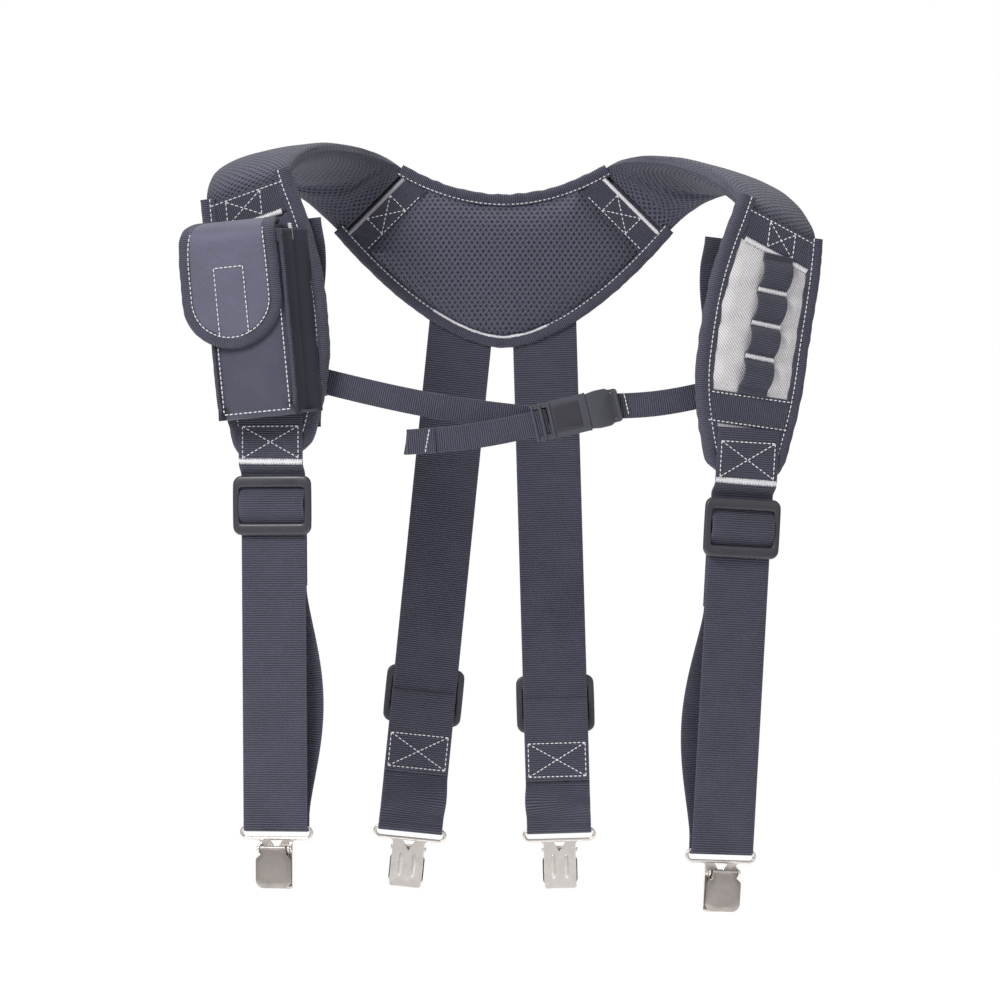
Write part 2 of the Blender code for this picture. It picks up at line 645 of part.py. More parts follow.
# ---------------------------------------------------------------- clip, slider and strap
def clip_meshes():
    """Meshes of one suspender clip about the middle of its loop bar."""
    loop_top, loop_low = LOOP_BAR / 2, LOOP_BAR / 2 - LOOP_HEIGHT
    corner, fillet = 0.0020, 0.0020
    right_side = arc((LOOP_HALF - corner, loop_top - corner), corner, 90, 0, 2)
    right_side += arc((LOOP_HALF - corner, loop_low + corner), corner, 0, -90, 2)
    right_side += [(PLATE_HALF + fillet, loop_low - GAP), (PLATE_HALF, loop_low - fillet)]
    right_side += [(PLATE_HALF, PLATE_BOTTOM + 0.003), (PLATE_HALF - 0.003, PLATE_BOTTOM)]
    left_side = [(-x, z) for x, z in reversed(right_side)]
    window_x = LOOP_HALF - LOOP_BAR
    window = [(window_x, loop_top - LOOP_BAR), (-window_x, loop_top - LOOP_BAR),
              (-window_x, loop_low + LOOP_BAR), (window_x, loop_low + LOOP_BAR)]
    plate = flat_mesh("clip_frame", [right_side + left_side, window],
                      -CLIP_SHEET / 2, CLIP_SHEET / 2)
    ears = []
    for sign in (-1, 1):
        outer = PLATE_HALF - 0.0002
        low_x, high_x = sorted((sign * (outer - EAR_THICK), sign * outer))
        ears.append(box_mesh((low_x, PIN_Y - EAR_RADIUS * 0.8, PIN_Z - EAR_RADIUS),
                             (high_x, 0.0, PIN_Z + EAR_RADIUS)))
    grip = box_mesh((-GRIP_HALF, 0.0, GRIP_LOW), (GRIP_HALF, CLIP_SHEET / 2 + GRIP_RAISE, GRIP_HIGH))
    hole = rod_mesh(PIN_RADIUS + PIN_CLEARANCE, 0.02, (0, PIN_Y, PIN_Z), 12)
    frame = join_and_cut(plate, unions=[grip] + ears, cuts=[hole])

    shank, head = PIN_RADIUS, 0.0022
    inside, outside = PLATE_HALF + GAP, PLATE_HALF + GAP + 0.0009
    profile = [(0.0, outside), (head, outside), (head, inside), (shank, inside),
               (shank, -inside), (head, -inside), (head, -outside), (0.0, -outside)]
    bm = bmesh.new()
    verts = [bm.verts.new((radius, 0, height)) for radius, height in profile]
    for first, second in zip(verts, verts[1:]):
        bm.edges.new((first, second))
    mesh = bpy.data.meshes.new("clip_pin")
    bm.to_mesh(mesh)
    bm.free()
    obj = working_object("clip_pin", mesh)
    screw = obj.modifiers.new("Turn", "SCREW")
    screw.steps = screw.render_steps = 12
    screw.use_merge_vertices = True
    screw.merge_threshold = 1e-6
    obj.matrix_world = (Matrix.Translation((0, PIN_Y, PIN_Z))
                        @ Matrix.Rotation(math.radians(90), 4, "Y"))
    pin = baked(obj)
    for polygon in pin.polygons:
        polygon.use_smooth = True
    pin.set_sharp_from_angle(angle=math.radians(40))

    # lever and jaw about the pin axis
    corner = 0.006
    lever_bottom = PIN_Z + 0.002 - LEVER_LENGTH
    outline = [(LEVER_HALF, 0.002), (-LEVER_HALF, 0.002)]
    base = lever_bottom - PIN_Z
    outline += arc((-LEVER_HALF + corner, base + corner), corner, 180, 270, 4)
    outline += arc((LEVER_HALF - corner, base + corner), corner, 270, 360, 4)
    cover = flat_mesh("clip_lever", [outline], -LEVER_STANDOFF - LEVER_SHEET, -LEVER_STANDOFF)
    cheeks = []
    for sign in (-1, 1):
        low_x, high_x = sorted((sign * 0.0086, sign * 0.0108))
        cheeks.append(box_mesh((low_x, -LEVER_STANDOFF - LEVER_SHEET / 2, -0.0040),
                               (high_x, 0.0030, 0.0019)))
    bore = rod_mesh(PIN_RADIUS + PIN_CLEARANCE, 0.02, (0, 0, 0), 12)
    lever = join_and_cut(cover, unions=cheeks, cuts=[bore])

    blade_top, blade_bottom = 0.0, -0.026
    blade = box_mesh((-0.0080, 0.0014, blade_bottom), (0.0080, 0.0026, blade_top))
    barrel = rod_mesh(0.0027, 0.0080, (0, 0, 0), 12)
    lip = box_mesh((-0.0080, 0.0014, blade_bottom), (0.0080, 0.0047, blade_bottom + 0.0012))
    bore = rod_mesh(PIN_RADIUS + PIN_CLEARANCE, 0.02, (0, 0, 0), 12)
    jaw = join_and_cut(barrel, unions=[blade, lip], cuts=[bore])
    return {"frame": frame, "pin": pin, "lever": lever, "jaw": jaw}


def slider_mesh():
    """Three-bar slider about the middle of its crossbar."""
    half_w, half_h = SLIDER_WIDTH / 2, SLIDER_HEIGHT / 2
    side = WEB_WIDTH / 2 + 0.0009
    frame = flat_mesh("slider", [
        rounded_rectangle(-half_w, -half_h, half_w, half_h, SLIDER_CORNER, 4),
        rounded_rectangle(-side, -half_h + SLIDER_BAR, side, half_h - SLIDER_BAR, 0.0015, 2),
    ], SLIDER_FRONT, SLIDER_REAR)
    reach = side + 0.002
    bar = box_mesh((-reach, CROSSBAR_Y - CROSSBAR_THICK / 2, -CROSSBAR_HALF),
                   (reach, CROSSBAR_Y + CROSSBAR_THICK / 2, CROSSBAR_HALF))
    return join_and_cut(frame, unions=[bar])


def front_run_path(start, slider_drop, ring_drop):
    """Webbing from its sewn end, through the slider and down to the clip loop."""
    centre = -slider_drop
    path = list(start)
    path += [(0.0, centre + 0.0126), (HUMP_Y + 0.0006, centre + 0.0046)]
    path += [(HUMP_Y, centre + 0.0015), (HUMP_Y, centre - 0.0015)]
    path += [(HUMP_Y + 0.0006, centre - 0.0046), (0.0, centre - 0.0126)]
    path.append((0.0, -ring_drop + GAP))
    return path


def return_run_path(slider_drop, ring_drop, bulge):
    """Webbing from its folded sewn end, round the crossbar, down to and under the loop bar."""
    centre = -slider_drop
    inner, outer = 0.0021, 0.0042
    wrap = math.hypot(CROSSBAR_HALF, CROSSBAR_THICK / 2) + 0.00025 + WEB_THICK / 2
    path = [(outer, centre - SEWN_END), (outer, centre - 0.011), (0.0034, centre - 0.0065)]
    path += arc((CROSSBAR_Y, centre), wrap, -30, 190, 8)
    path += [(-0.0009, centre - 0.0056), (0.0013, centre - 0.0090), (inner, centre - 0.0126)]
    high, low = centre - SEWN_END - 0.004, -ring_drop + 0.010
    path.append((inner, high))
    steps = 6
    for i in range(1, steps):
        t = i / steps
        y = inner + (2 * RING_Y - inner) * t + bulge * math.sin(math.pi * t)
        path.append((y, high + (low - high) * t))
    path.append((2 * RING_Y, low))
    path += arc((RING_Y, -ring_drop), RING_Y, 0, -180, 6)
    return path


def build_strap(name, matrix, start, slider_drop, ring_drop, bulge, shared):
    swing = add_pivot(f"pivot_{name}_swing", matrix)
    run = strip_mesh(f"{name}_webbing", front_run_path(start, slider_drop, ring_drop), WEB_WIDTH)
    add_piece(f"{name}_webbing", run, WEBBING, parent=swing)

    swivel = add_pivot(f"pivot_{name}_clip", Matrix.Translation((0, RING_Y, -ring_drop)), swing)
    back_run = strip_mesh(f"{name}_return_webbing",
                          return_run_path(slider_drop, ring_drop, bulge), WEB_WIDTH)
    add_piece(f"{name}_return_webbing", back_run, WEBBING, parent=swing)

    carrier = add_pivot(f"pivot_{name}_slider", Matrix.Translation((0, 0, -slider_drop)), swing)
    add_piece(f"{name}_slider", shared["slider"], PLASTIC, parent=carrier)

    add_piece(f"{name}_clip_frame", shared["frame"], STEEL, parent=swivel)
    add_piece(f"{name}_clip_pin", shared["pin"], STEEL, parent=swivel)
    pin = add_pivot(f"pivot_{name}_lever", Matrix.Translation((0, PIN_Y, PIN_Z)), swivel)
    add_piece(f"{name}_clip_lever", shared["lever"], STEEL, parent=pin)
    add_piece(f"{name}_clip_jaw", shared["jaw"], STEEL, parent=pin)


# ---------------------------------------------------------------- chest strap
RAIL_MIDDLE = 0.100                          # middle of the height rail, up the panel
RAIL_REACH, RAIL_STRAIGHT = 0.078, 0.058     # half its length, and half its straight part
RAIL_Y = 0.0130                              # straight middle of the rail, behind the panel
RAIL_WIDTH = 0.019
RAIL_CLEARANCE = 0.0036                      # the panel leans, its rail stands upright
RAIL_INSET = 0.017                           # from the panel's widest edge to the rail's middle
LEFT_RAIL_SLIDER, RIGHT_RAIL_SLIDER = -0.044, -0.040   # slider heights from the rail's middle


def rail_frame(panel):
    """Upright frame on the back of a panel, near its inner edge at the slider's height."""
    x = panel.inner * (PANEL_HALF - RAIL_INSET) + panel.centre(RAIL_MIDDLE)
    foot = panel.matrix @ Vector((x, 0, RAIL_MIDDLE))
    return frame_matrix(foot, (0, 0, 1), panel.inward)


def build_rail(panel, slider_z):
    """Narrow webbing rail on the back of a panel and the slider that the chest strap hangs on."""
    frame = rail_frame(panel)
    near = PANEL_THICK / 2 + BINDING_PROUD + WEB_THICK / 2 + RAIL_CLEARANCE
    half_path = [(near, RAIL_REACH), (near, RAIL_REACH - 0.008),
                 (RAIL_Y - 0.001, RAIL_STRAIGHT + 0.004), (RAIL_Y, RAIL_STRAIGHT)]
    path = half_path + [(y, -z) for y, z in reversed(half_path)]
    rail = strip_mesh(f"{panel.side}_rail_web", path, RAIL_WIDTH)
    add_piece(f"{panel.side}_rail_web", rail, WEBBING, matrix=frame)

    pivot = add_pivot(f"pivot_{panel.side}_rail_slider",
                      frame @ Matrix.Translation((0, RAIL_Y, slider_z)))
    half_w, half_h, half_d = RAIL_WIDTH / 2 + 0.004, 0.011, 0.0032
    block = box_mesh((-half_w, -half_d, -half_h), (half_w, half_d, half_h))
    slot = box_mesh((-RAIL_WIDTH / 2 - GAP, -WEB_THICK / 2 - GAP, -0.02),
                    (RAIL_WIDTH / 2 + GAP, WEB_THICK / 2 + GAP, 0.02))
    add_piece(f"{panel.side}_rail_slider", join_and_cut(block, cuts=[slot]), PLASTIC, parent=pivot)
    return frame @ Vector((panel.inner * (half_w + GAP), RAIL_Y, slider_z))


def chest_web(name, start, end, start_width_dir, end_width_dir, sag, steps=12):
    """Webbing between two points, each with its own width direction."""
    start, end = Vector(start), Vector(end)

    def surface(u, v):
        point = start.lerp(end, u)
        point.z -= sag * math.sin(math.pi * u)
        point.y -= sag * math.sin(math.pi * u)
        width = Vector(start_width_dir).lerp(Vector(end_width_dir), u).normalized()
        return point + width * (v - 0.5) * CHEST_WEB_WIDTH
    return sheet_mesh(name, steps, 1, surface, WEB_THICK)


def build_chest_strap(left_panel, right_panel, left_z, right_z):
    left_end = build_rail(left_panel, left_z)
    right_end = build_rail(right_panel, right_z)

    mouth = Vector((0.0628, -0.182, -0.124))
    along = Vector((math.cos(BUCKLE_TILT), 0, math.sin(BUCKLE_TILT)))
    up = Vector((-math.sin(BUCKLE_TILT), 0, math.cos(BUCKLE_TILT)))
    buckle = frame_matrix(mouth, up, (0, 1, 0))

    # female half: a sleeve with a tapering mouth, side windows and two bars for the webbing
    height, depth = BUCKLE_HALF_HEIGHT, BUCKLE_HALF_DEPTH
    shell = flat_mesh("buckle_female",
                      [rounded_rectangle(-FEMALE_LENGTH, -height, -0.0, height, 0.003, 3)],
                      -depth, depth)
    throat = flat_mesh("throat", [[(0.002, -0.0117), (0.002, 0.0117), (-0.013, 0.0132),
                                   (-0.028, 0.0132), (-0.028, -0.0132), (-0.013, -0.0132)]],
                       -depth + 0.0015, depth - 0.0015)
    windows = box_mesh((-0.0255, -depth + 0.0019, -0.02), (-0.0138, depth - 0.0019, 0.02))
    bars = [box_mesh((-0.0400, -0.02, -0.0102), (-0.0365, 0.02, 0.0102)),
            box_mesh((-0.0335, -0.02, -0.0102), (-0.0300, 0.02, 0.0102))]
    female = join_and_cut(shell, cuts=[throat, windows] + bars)
    add_piece("chest_buckle_female", female, PLASTIC, matrix=buckle)

    slide = add_pivot("pivot_chest_release", buckle)
    inner = depth - 0.0015 - 2 * GAP
    base = flat_mesh("buckle_male",
                     [rounded_rectangle(0.0006, -0.0125, MALE_LENGTH, 0.0125, 0.0025, 3)],
                     -depth + 0.0004, depth - 0.0004)
    tongue = box_mesh((-0.018, -inner, -0.0030), (0.002, inner, 0.0030))
    slot = box_mesh((MALE_LENGTH - 0.0065, -0.02, -0.0102), (MALE_LENGTH - 0.0030, 0.02, 0.0102))
    relief = [box_mesh((0.0, -0.02, 0.0050), (0.0085, 0.02, 0.0130)),
              box_mesh((0.0, -0.02, -0.0130), (0.0085, 0.02, -0.0050))]
    male = join_and_cut(base, unions=[tongue], cuts=[slot] + relief)
    add_piece("chest_buckle_male", male, PLASTIC, parent=slide)

    arm_root, arm_thick = 0.0075, 0.0030
    for which, sign in (("upper", 1), ("lower", -1)):
        pivot = add_pivot(f"pivot_chest_{which}_arm",
                          Matrix.Translation((arm_root, 0, sign * 0.0085)), slide)
        tip, lift = -ARM_REACH - arm_root + 0.001, 0.0045
        outline = [(0.0, 0.0), (-0.019, 0.0), (-0.024, lift - 0.0008), (tip + 0.003, lift - 0.0008),
                   (tip, lift - 0.0030), (tip, -0.0010), (-0.022, -0.0010 - arm_thick * 0.3),
                   (0.0, -arm_thick + 0.0005)]
        outline = [(x, sign * z) for x, z in outline]
        if sign < 0:
            outline.reverse()
        arm = flat_mesh(f"chest_{which}_arm", [outline], -inner, inner)
        add_piece(f"chest_{which}_release_arm", arm, PLASTIC, parent=pivot)

    # webbing: left run to the female half, its free tail, and the short right run
    upright = Vector((0, 0, 1))
    female_end = buckle @ Vector((-FEMALE_LENGTH - GAP, 0.0012, 0))
    male_end = buckle @ Vector((MALE_LENGTH + GAP, 0, 0))
    left = chest_web("left_chest_webbing", left_end, female_end, upright, up, 0.004)
    add_piece("left_chest_webbing", left, WEBBING)
    right = chest_web("right_chest_webbing", right_end, male_end, upright, up, 0.002, 8)
    add_piece("right_chest_webbing", right, WEBBING)

    tail_start = buckle @ Vector((-FEMALE_LENGTH - GAP, -0.0026, 0))
    tail_end = Vector((-0.072, -0.196, -0.147))
    tail_up = Vector((0.17, 0.1, 0.98)).normalized()
    tail = chest_web("chest_tail_webbing", tail_start, tail_end, up, tail_up, 0.003)
    pivot = add_pivot("pivot_chest_tail", frame_matrix(tail_end, tail_up, (0, 1, 0)))
    tail.transform(pivot.matrix_basis.inverted())
    add_piece("chest_tail_webbing", tail, WEBBING, parent=pivot)


# ---------------------------------------------------------------- the whole object
def build():
    left_foot, right_foot = (-0.1728, PANEL_DEPTH, -0.160), (0.1788, PANEL_DEPTH, -0.175)
    left = Panel("left", 1, LEFT_YAW, left_foot, (-0.192, PANEL_DEPTH, 0.043), 0.24, 0.009)
    right = Panel("right", -1, RIGHT_YAW, right_foot, (0.205, PANEL_DEPTH, 0.019), 0.34, 0.006)

    # top and clip position of each strap, the way its inner face looks, slider drop and bulge
    tuck_y = -(YOKE_BACKING + 2 * GAP + WEB_THICK / 2)
    straps = {
        "front_left": (left_foot, (-0.171, PANEL_DEPTH, -0.435), left.inward, 0.034, 0.007),
        "front_right": (right_foot, (0.1634, PANEL_DEPTH, -0.4525), right.inward, 0.036, 0.007),
        "rear_left": ((-0.034, tuck_y, -0.061), (-0.0728, tuck_y, -0.4455), (0, -1, 0), 0.283,
                      0.002),
        "rear_right": ((0.032, tuck_y, -0.065), (0.043, tuck_y, -0.4466), (0, -1, 0), 0.284,
                       0.002),
    }
    frames = {}
    for name, (top, ring, inward, _, _) in straps.items():
        frames[name] = frame_matrix(top, Vector(top) - Vector(ring), inward)

    build_yoke([frames["rear_left"], frames["rear_right"]])
    for panel, sign in ((left, -1), (right, 1)):
        build_panel(panel)
        build_shoulder_pad(panel, sign)
    build_tool_panel(right)
    build_pouch(left)

    anchor_y = -(PANEL_THICK / 2 + BINDING_PROUD + GAP + WEB_THICK / 2 + ANCHOR_CLEARANCE)
    shared = clip_meshes()
    shared["slider"] = slider_mesh()
    for name, (top, ring, _, slider_drop, bulge) in straps.items():
        start = [(0.0, STRAP_TUCK)]
        if name in ANCHOR_HEIGHT:
            start = [(anchor_y, ANCHOR_HEIGHT[name]), (anchor_y, -0.0038), (0.0, -0.0098)]
        ring_drop = (Vector(top) - Vector(ring)).length
        build_strap(name, frames[name], start, slider_drop, ring_drop, bulge, shared)

    build_chest_strap(left, right, LEFT_RAIL_SLIDER, RIGHT_RAIL_SLIDER)


clear_scene()
PARTS = new_collection(COLLECTION)
build()
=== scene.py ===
"""Looks of the padded work suspenders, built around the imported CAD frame.

Axes: +X to the wearer's left, +Y to the rear, +Z up, in metres.
The origin is the middle of the yoke's outer face.
Soft pieces carry a UV map named Weave in metres, so every weave has its real scale.
"""
import json
import math

import bmesh
import bpy
import numpy as np
from mathutils import Matrix, Vector, noise


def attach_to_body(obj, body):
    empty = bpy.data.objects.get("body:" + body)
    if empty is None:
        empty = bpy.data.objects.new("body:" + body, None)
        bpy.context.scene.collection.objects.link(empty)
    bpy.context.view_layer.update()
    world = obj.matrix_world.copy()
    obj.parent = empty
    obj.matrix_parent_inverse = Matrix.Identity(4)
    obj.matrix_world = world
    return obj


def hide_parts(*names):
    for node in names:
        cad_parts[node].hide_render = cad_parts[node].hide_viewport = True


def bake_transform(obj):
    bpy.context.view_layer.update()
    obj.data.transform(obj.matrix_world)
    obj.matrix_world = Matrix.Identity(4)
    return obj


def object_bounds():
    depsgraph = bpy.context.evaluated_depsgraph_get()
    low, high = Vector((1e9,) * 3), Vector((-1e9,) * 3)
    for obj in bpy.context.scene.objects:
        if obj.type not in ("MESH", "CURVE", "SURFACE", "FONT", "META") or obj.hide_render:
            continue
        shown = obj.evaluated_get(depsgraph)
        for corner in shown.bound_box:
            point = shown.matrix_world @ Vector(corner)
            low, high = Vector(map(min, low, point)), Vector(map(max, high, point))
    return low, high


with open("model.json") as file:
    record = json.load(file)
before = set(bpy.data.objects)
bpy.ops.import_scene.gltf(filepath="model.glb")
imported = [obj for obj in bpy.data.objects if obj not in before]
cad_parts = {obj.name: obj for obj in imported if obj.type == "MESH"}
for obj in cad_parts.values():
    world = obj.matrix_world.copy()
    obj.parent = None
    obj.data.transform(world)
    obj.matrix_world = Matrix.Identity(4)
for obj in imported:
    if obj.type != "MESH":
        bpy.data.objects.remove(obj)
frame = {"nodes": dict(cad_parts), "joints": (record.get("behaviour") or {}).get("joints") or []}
CAD_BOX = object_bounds()
NODES = frame["nodes"]
JOINTS = {joint["name"]: joint for joint in frame["joints"]}
UV = "Weave"
OUTWARD, WEARER_SIDE = (0, -1, 0), (0, 1, 0)  # face normals, in a strap's, a panel's or the row frame
STRAPS = ("front_left", "front_right", "rear_left", "rear_right")

# ---------------------------------------------------------------- dimensions (metres)
WEB_WIDTH, WEB_THICK = 0.050, 0.0015
CHEST_WIDTH, CHEST_THICK = 0.019, 0.0014
RIB = 0.0017                                 # pitch of the webbing's cross ribs
TAPE_WIDTH, TAPE_SEAM = 0.0115, 0.0076       # edge binding and its stitch line, from the edge
FINE_RIB, FINE_DEPTH = 0.0016, 0.0001        # rib pitch and depth of the lighter webbings
THREAD = 0.00044                             # radius of the white thread
STITCH, STITCH_GAP = 0.0026, 0.0010

YOKE_TOP_X, YOKE_TOP_Z = 0.075, 0.069
YOKE_TIP_X, YOKE_TIP_Z = 0.129, 0.015
YOKE_BOTTOM_Z, YOKE_NECK_Z = -0.071, 0.048
YOKE_FLANGE, YOKE_DOME = 0.0066, 0.0135
YOKE_CURVE = 1.72                            # power of the lower edge

PANEL_HALF, PANEL_THICK, PANEL_DEPTH = 0.043, 0.007, -0.170
POUCH_BOTTOM, POUCH_TOP, POUCH_DEPTH = 0.033, 0.170, 0.030
POUCH_X, POUCH_HALF = 0.002, 0.0295
POUCH_FLARE_OUTER, POUCH_FLARE_INNER = 0.004, 0.012
FLAP_HALF, FLAP_DROP = 0.038, 0.082

SLIDER_WIDTH, SLIDER_HEIGHT, SLIDER_BAR = 0.061, 0.045, 0.009
SLIDER_FRONT, SLIDER_REAR = -0.0060, -0.0012
SEWN_END = 0.060
RING_Y = 0.0026


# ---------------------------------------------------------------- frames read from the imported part
def frame_from(x_axis, z_axis, origin):
    x_axis, z_axis = Vector(x_axis).normalized(), Vector(z_axis).normalized()
    y_axis = z_axis.cross(x_axis)
    matrix = Matrix((x_axis, y_axis, z_axis)).transposed().to_4x4()
    matrix.translation = origin
    return matrix


def strap_frame(strap):
    """X across the strap, Y towards the wearer, Z up the strap; the origin is its swing hinge."""
    swing = JOINTS[f"{strap}_swing"]
    return frame_from(swing["axis"], -Vector(JOINTS[f"{strap}_adjust"]["axis"]), swing["pos_m"])


def local_box(node, matrix):
    """Box of a CAD node in a local frame."""
    inverse = matrix.inverted()
    points = np.array([inverse @ v.co for v in NODES[node].data.vertices])
    return Vector(points.min(0)), Vector(points.max(0))


def panel_frame(foot, top, yaw):
    inward = Vector((math.sin(yaw), math.cos(yaw), 0))
    z_axis = (Vector(top) - Vector(foot)).normalized()
    return frame_from(inward.cross(z_axis), z_axis, foot)


# ---------------------------------------------------------------- materials
class Shader:
    """Small helper that builds one node material."""

    def __init__(self, name):
        self.material = bpy.data.materials.new(name)
        self.material.use_nodes = True
        self.nodes = self.material.node_tree.nodes
        self.links = self.material.node_tree.links
        self.principled = self.nodes["Principled BSDF"]
        self.weave = self.nodes.new("ShaderNodeUVMap")
        self.weave.uv_map = UV
        split = self.nodes.new("ShaderNodeSeparateXYZ")
        self.links.new(self.weave.outputs[0], split.inputs[0])
        self.u, self.v = split.outputs[0], split.outputs[1]

    def set(self, socket, value):
        target = self.principled.inputs[socket]
        if hasattr(value, "is_linked"):
            self.links.new(value, target)
        else:
            target.default_value = value

    def math(self, operation, *values):
        node = self.nodes.new("ShaderNodeMath")
        node.operation = operation
        for socket, value in zip(node.inputs, values):
            if hasattr(value, "is_linked"):
                self.links.new(value, socket)
            else:
                socket.default_value = value
        return node.outputs[0]

    def remap(self, value, low, high, to_low=0.0, to_high=1.0):
        node = self.nodes.new("ShaderNodeMapRange")
        self.links.new(value, node.inputs[0])
        for socket, number in zip(list(node.inputs)[1:5], (low, high, to_low, to_high)):
            socket.default_value = number
        return node.outputs[0]

    def wave(self, coordinate, pitch, phase=0.0):
        """0 to 1 sine wave along one coordinate."""
        turns = self.math("MULTIPLY_ADD", coordinate, 2 * math.pi / pitch, phase)
        return self.math("MULTIPLY_ADD", self.math("SINE", turns), 0.5, 0.5)

    def noise(self, scale, detail=3.0, roughness=0.55, space=None):
        node = self.nodes.new("ShaderNodeTexNoise")
        node.inputs["Scale"].default_value = scale
        node.inputs["Detail"].default_value = detail
        node.inputs["Roughness"].default_value = roughness
        if space is None:
            space = self.weave.outputs[0]
        self.links.new(space, node.inputs["Vector"])
        return node.outputs[0]

    def object_space(self):
        return self.nodes.new("ShaderNodeTexCoord").outputs["Object"]

    def mix(self, share, first, second):
        node = self.nodes.new("ShaderNodeMix")
        node.data_type = "RGBA"
        for socket, value in ((node.inputs[0], share), (node.inputs[6], first), (node.inputs[7], second)):
            if hasattr(value, "is_linked"):
                self.links.new(value, socket)
            elif socket.type == "RGBA":
                socket.default_value = (*value, 1.0)
            else:
                socket.default_value = value
        return node.outputs[2]

    def bump(self, height, distance, strength=1.0, below=None):
        node = self.nodes.new("ShaderNodeBump")
        node.inputs["Distance"].default_value = distance
        node.inputs["Strength"].default_value = strength
        self.links.new(height, node.inputs["Height"])
        if below is not None:
            self.links.new(below, node.inputs["Normal"])
        return node.outputs[0]


def shade(colour, factor):
    return tuple(min(1.0, c * factor) for c in colour)


COOL = (0.74, 0.80, 1.0, 1.0)                # tint of the soft pieces' highlights


def webbing(name, colour, rib_pitch=RIB, yarn_pitch=0.00105, half=WEB_WIDTH / 2):
    """Ribbed woven webbing: cross ribs, yarns, a slightly lighter edge from wear and uneven dye; the rib
    troughs are painted dark as painted shade and the crests light as a painted highlight.
    """
    s = Shader(name)
    run, side = s.v, s.u
    drift = s.noise(160.0, 2.0)
    wavy = s.math("MULTIPLY_ADD", drift, rib_pitch * 0.5, run)
    rib = s.wave(wavy, rib_pitch)
    shift = s.math("MULTIPLY", s.math("ROUND", s.math("DIVIDE", run, rib_pitch)), math.pi)
    turns = s.math("MULTIPLY_ADD", side, 2 * math.pi / yarn_pitch, shift)
    yarn = s.math("MULTIPLY_ADD", s.math("SINE", turns), 0.5, 0.5)
    height = s.math("MULTIPLY_ADD", yarn, 0.35, rib)
    fuzz = s.noise(2600.0, 2.0)
    uneven = s.noise(35.0, 4.0)
    edge = s.remap(s.math("ABSOLUTE", side), half * 0.93, half * 1.02)
    # painted shade and painted highlight: rib troughs darkened to 0.14 of the colour, crests lightened to
    # 1.45
    tone = s.mix(rib, shade(colour, 0.14), shade(colour, 1.45))
    tone = s.mix(s.math("MULTIPLY", yarn, 0.35), tone, shade(colour, 0.72))
    tone = s.mix(s.remap(uneven, 0.35, 0.75, 0.0, 0.30), tone, shade(colour, 1.45))
    tone = s.mix(s.math("MULTIPLY", edge, 0.35), tone, shade(colour, 1.7))
    tone = s.mix(s.remap(fuzz, 0.62, 0.78, 0.0, 0.5), tone, shade(colour, 1.9))
    s.set("Base Color", tone)
    s.set("Roughness", s.remap(rib, 0.0, 1.0, 0.88, 0.62))
    s.set("Sheen Weight", 0.12)
    s.set("Sheen Roughness", 0.5)
    s.set("Specular Tint", COOL)
    s.set("Normal", s.bump(fuzz, 0.0001, 0.5, s.bump(height, 0.00055, 0.9)))
    return s.material


def air_mesh(name, colour, across=0.0044, rows=0.0033):
    """Knitted spacer mesh: staggered holes pressed into a fine knit, with painted shade: the holes
    painted nearly black and the knit darker round them.
    """
    s = Shader(name)
    space = s.noise(90.0, 2.0)
    u = s.math("MULTIPLY_ADD", space, 0.0007, s.u)
    v = s.math("MULTIPLY_ADD", space, 0.0005, s.v)
    row = s.math("ROUND", s.math("DIVIDE", v, rows))
    stagger = s.math("MULTIPLY", s.math("MODULO", s.math("ABSOLUTE", row), 2.0), across / 2)
    cell_u = s.math("WRAP", s.math("ADD", u, stagger), across / 2, -across / 2)
    cell_v = s.math("WRAP", v, rows / 2, -rows / 2)
    reach = s.math("SQRT", s.math("ADD", s.math("POWER", s.math("MULTIPLY", cell_u, 1.25), 2.0),
                                  s.math("POWER", cell_v, 2.0)))
    hole = s.remap(reach, 0.00115, 0.00065)
    pillow = s.remap(reach, 0.0005, 0.0019)
    knit = s.math("MULTIPLY", s.wave(s.u, 0.00115), s.wave(s.v, 0.0009))
    fuzz = s.noise(2200.0, 2.0)
    uneven = s.noise(22.0, 4.0)
    strand = s.wave(s.math("MULTIPLY_ADD", s.v, -1.2, s.u), across * 0.78)
    tone = s.mix(strand, shade(colour, 0.80), shade(colour, 1.70))
    tone = s.mix(s.math("MULTIPLY", knit, 0.4), tone, shade(colour, 1.10))
    # painted shade: the knit darkens towards each hole, where the dip round the hole is in shade
    tone = s.mix(s.remap(pillow, 0.0, 1.0, 0.0, 0.9), shade(colour, 0.55), tone)
    tone = s.mix(s.remap(uneven, 0.3, 0.75, 0.0, 0.3), tone, shade(colour, 1.4))
    # painted shade: the holes painted nearly black, standing in for the shade inside them
    tone = s.mix(s.math("MULTIPLY", hole, s.remap(s.noise(420.0, 2.0), 0.3, 0.6, 0.55, 1.0)), tone,
                 shade(colour, 0.05))
    tone = s.mix(s.remap(fuzz, 0.62, 0.8, 0.0, 0.4), tone, shade(colour, 1.7))
    s.set("Base Color", tone)
    s.set("Roughness", 0.66)
    s.set("Sheen Weight", 0.15)
    s.set("Sheen Roughness", 0.45)
    s.set("Specular Tint", COOL)
    height = s.math("SUBTRACT", s.math("MULTIPLY_ADD", knit, 0.25, pillow), hole)
    s.set("Normal", s.bump(fuzz, 0.00012, 0.4, s.bump(height, 0.0009, 0.85)))
    return s.material


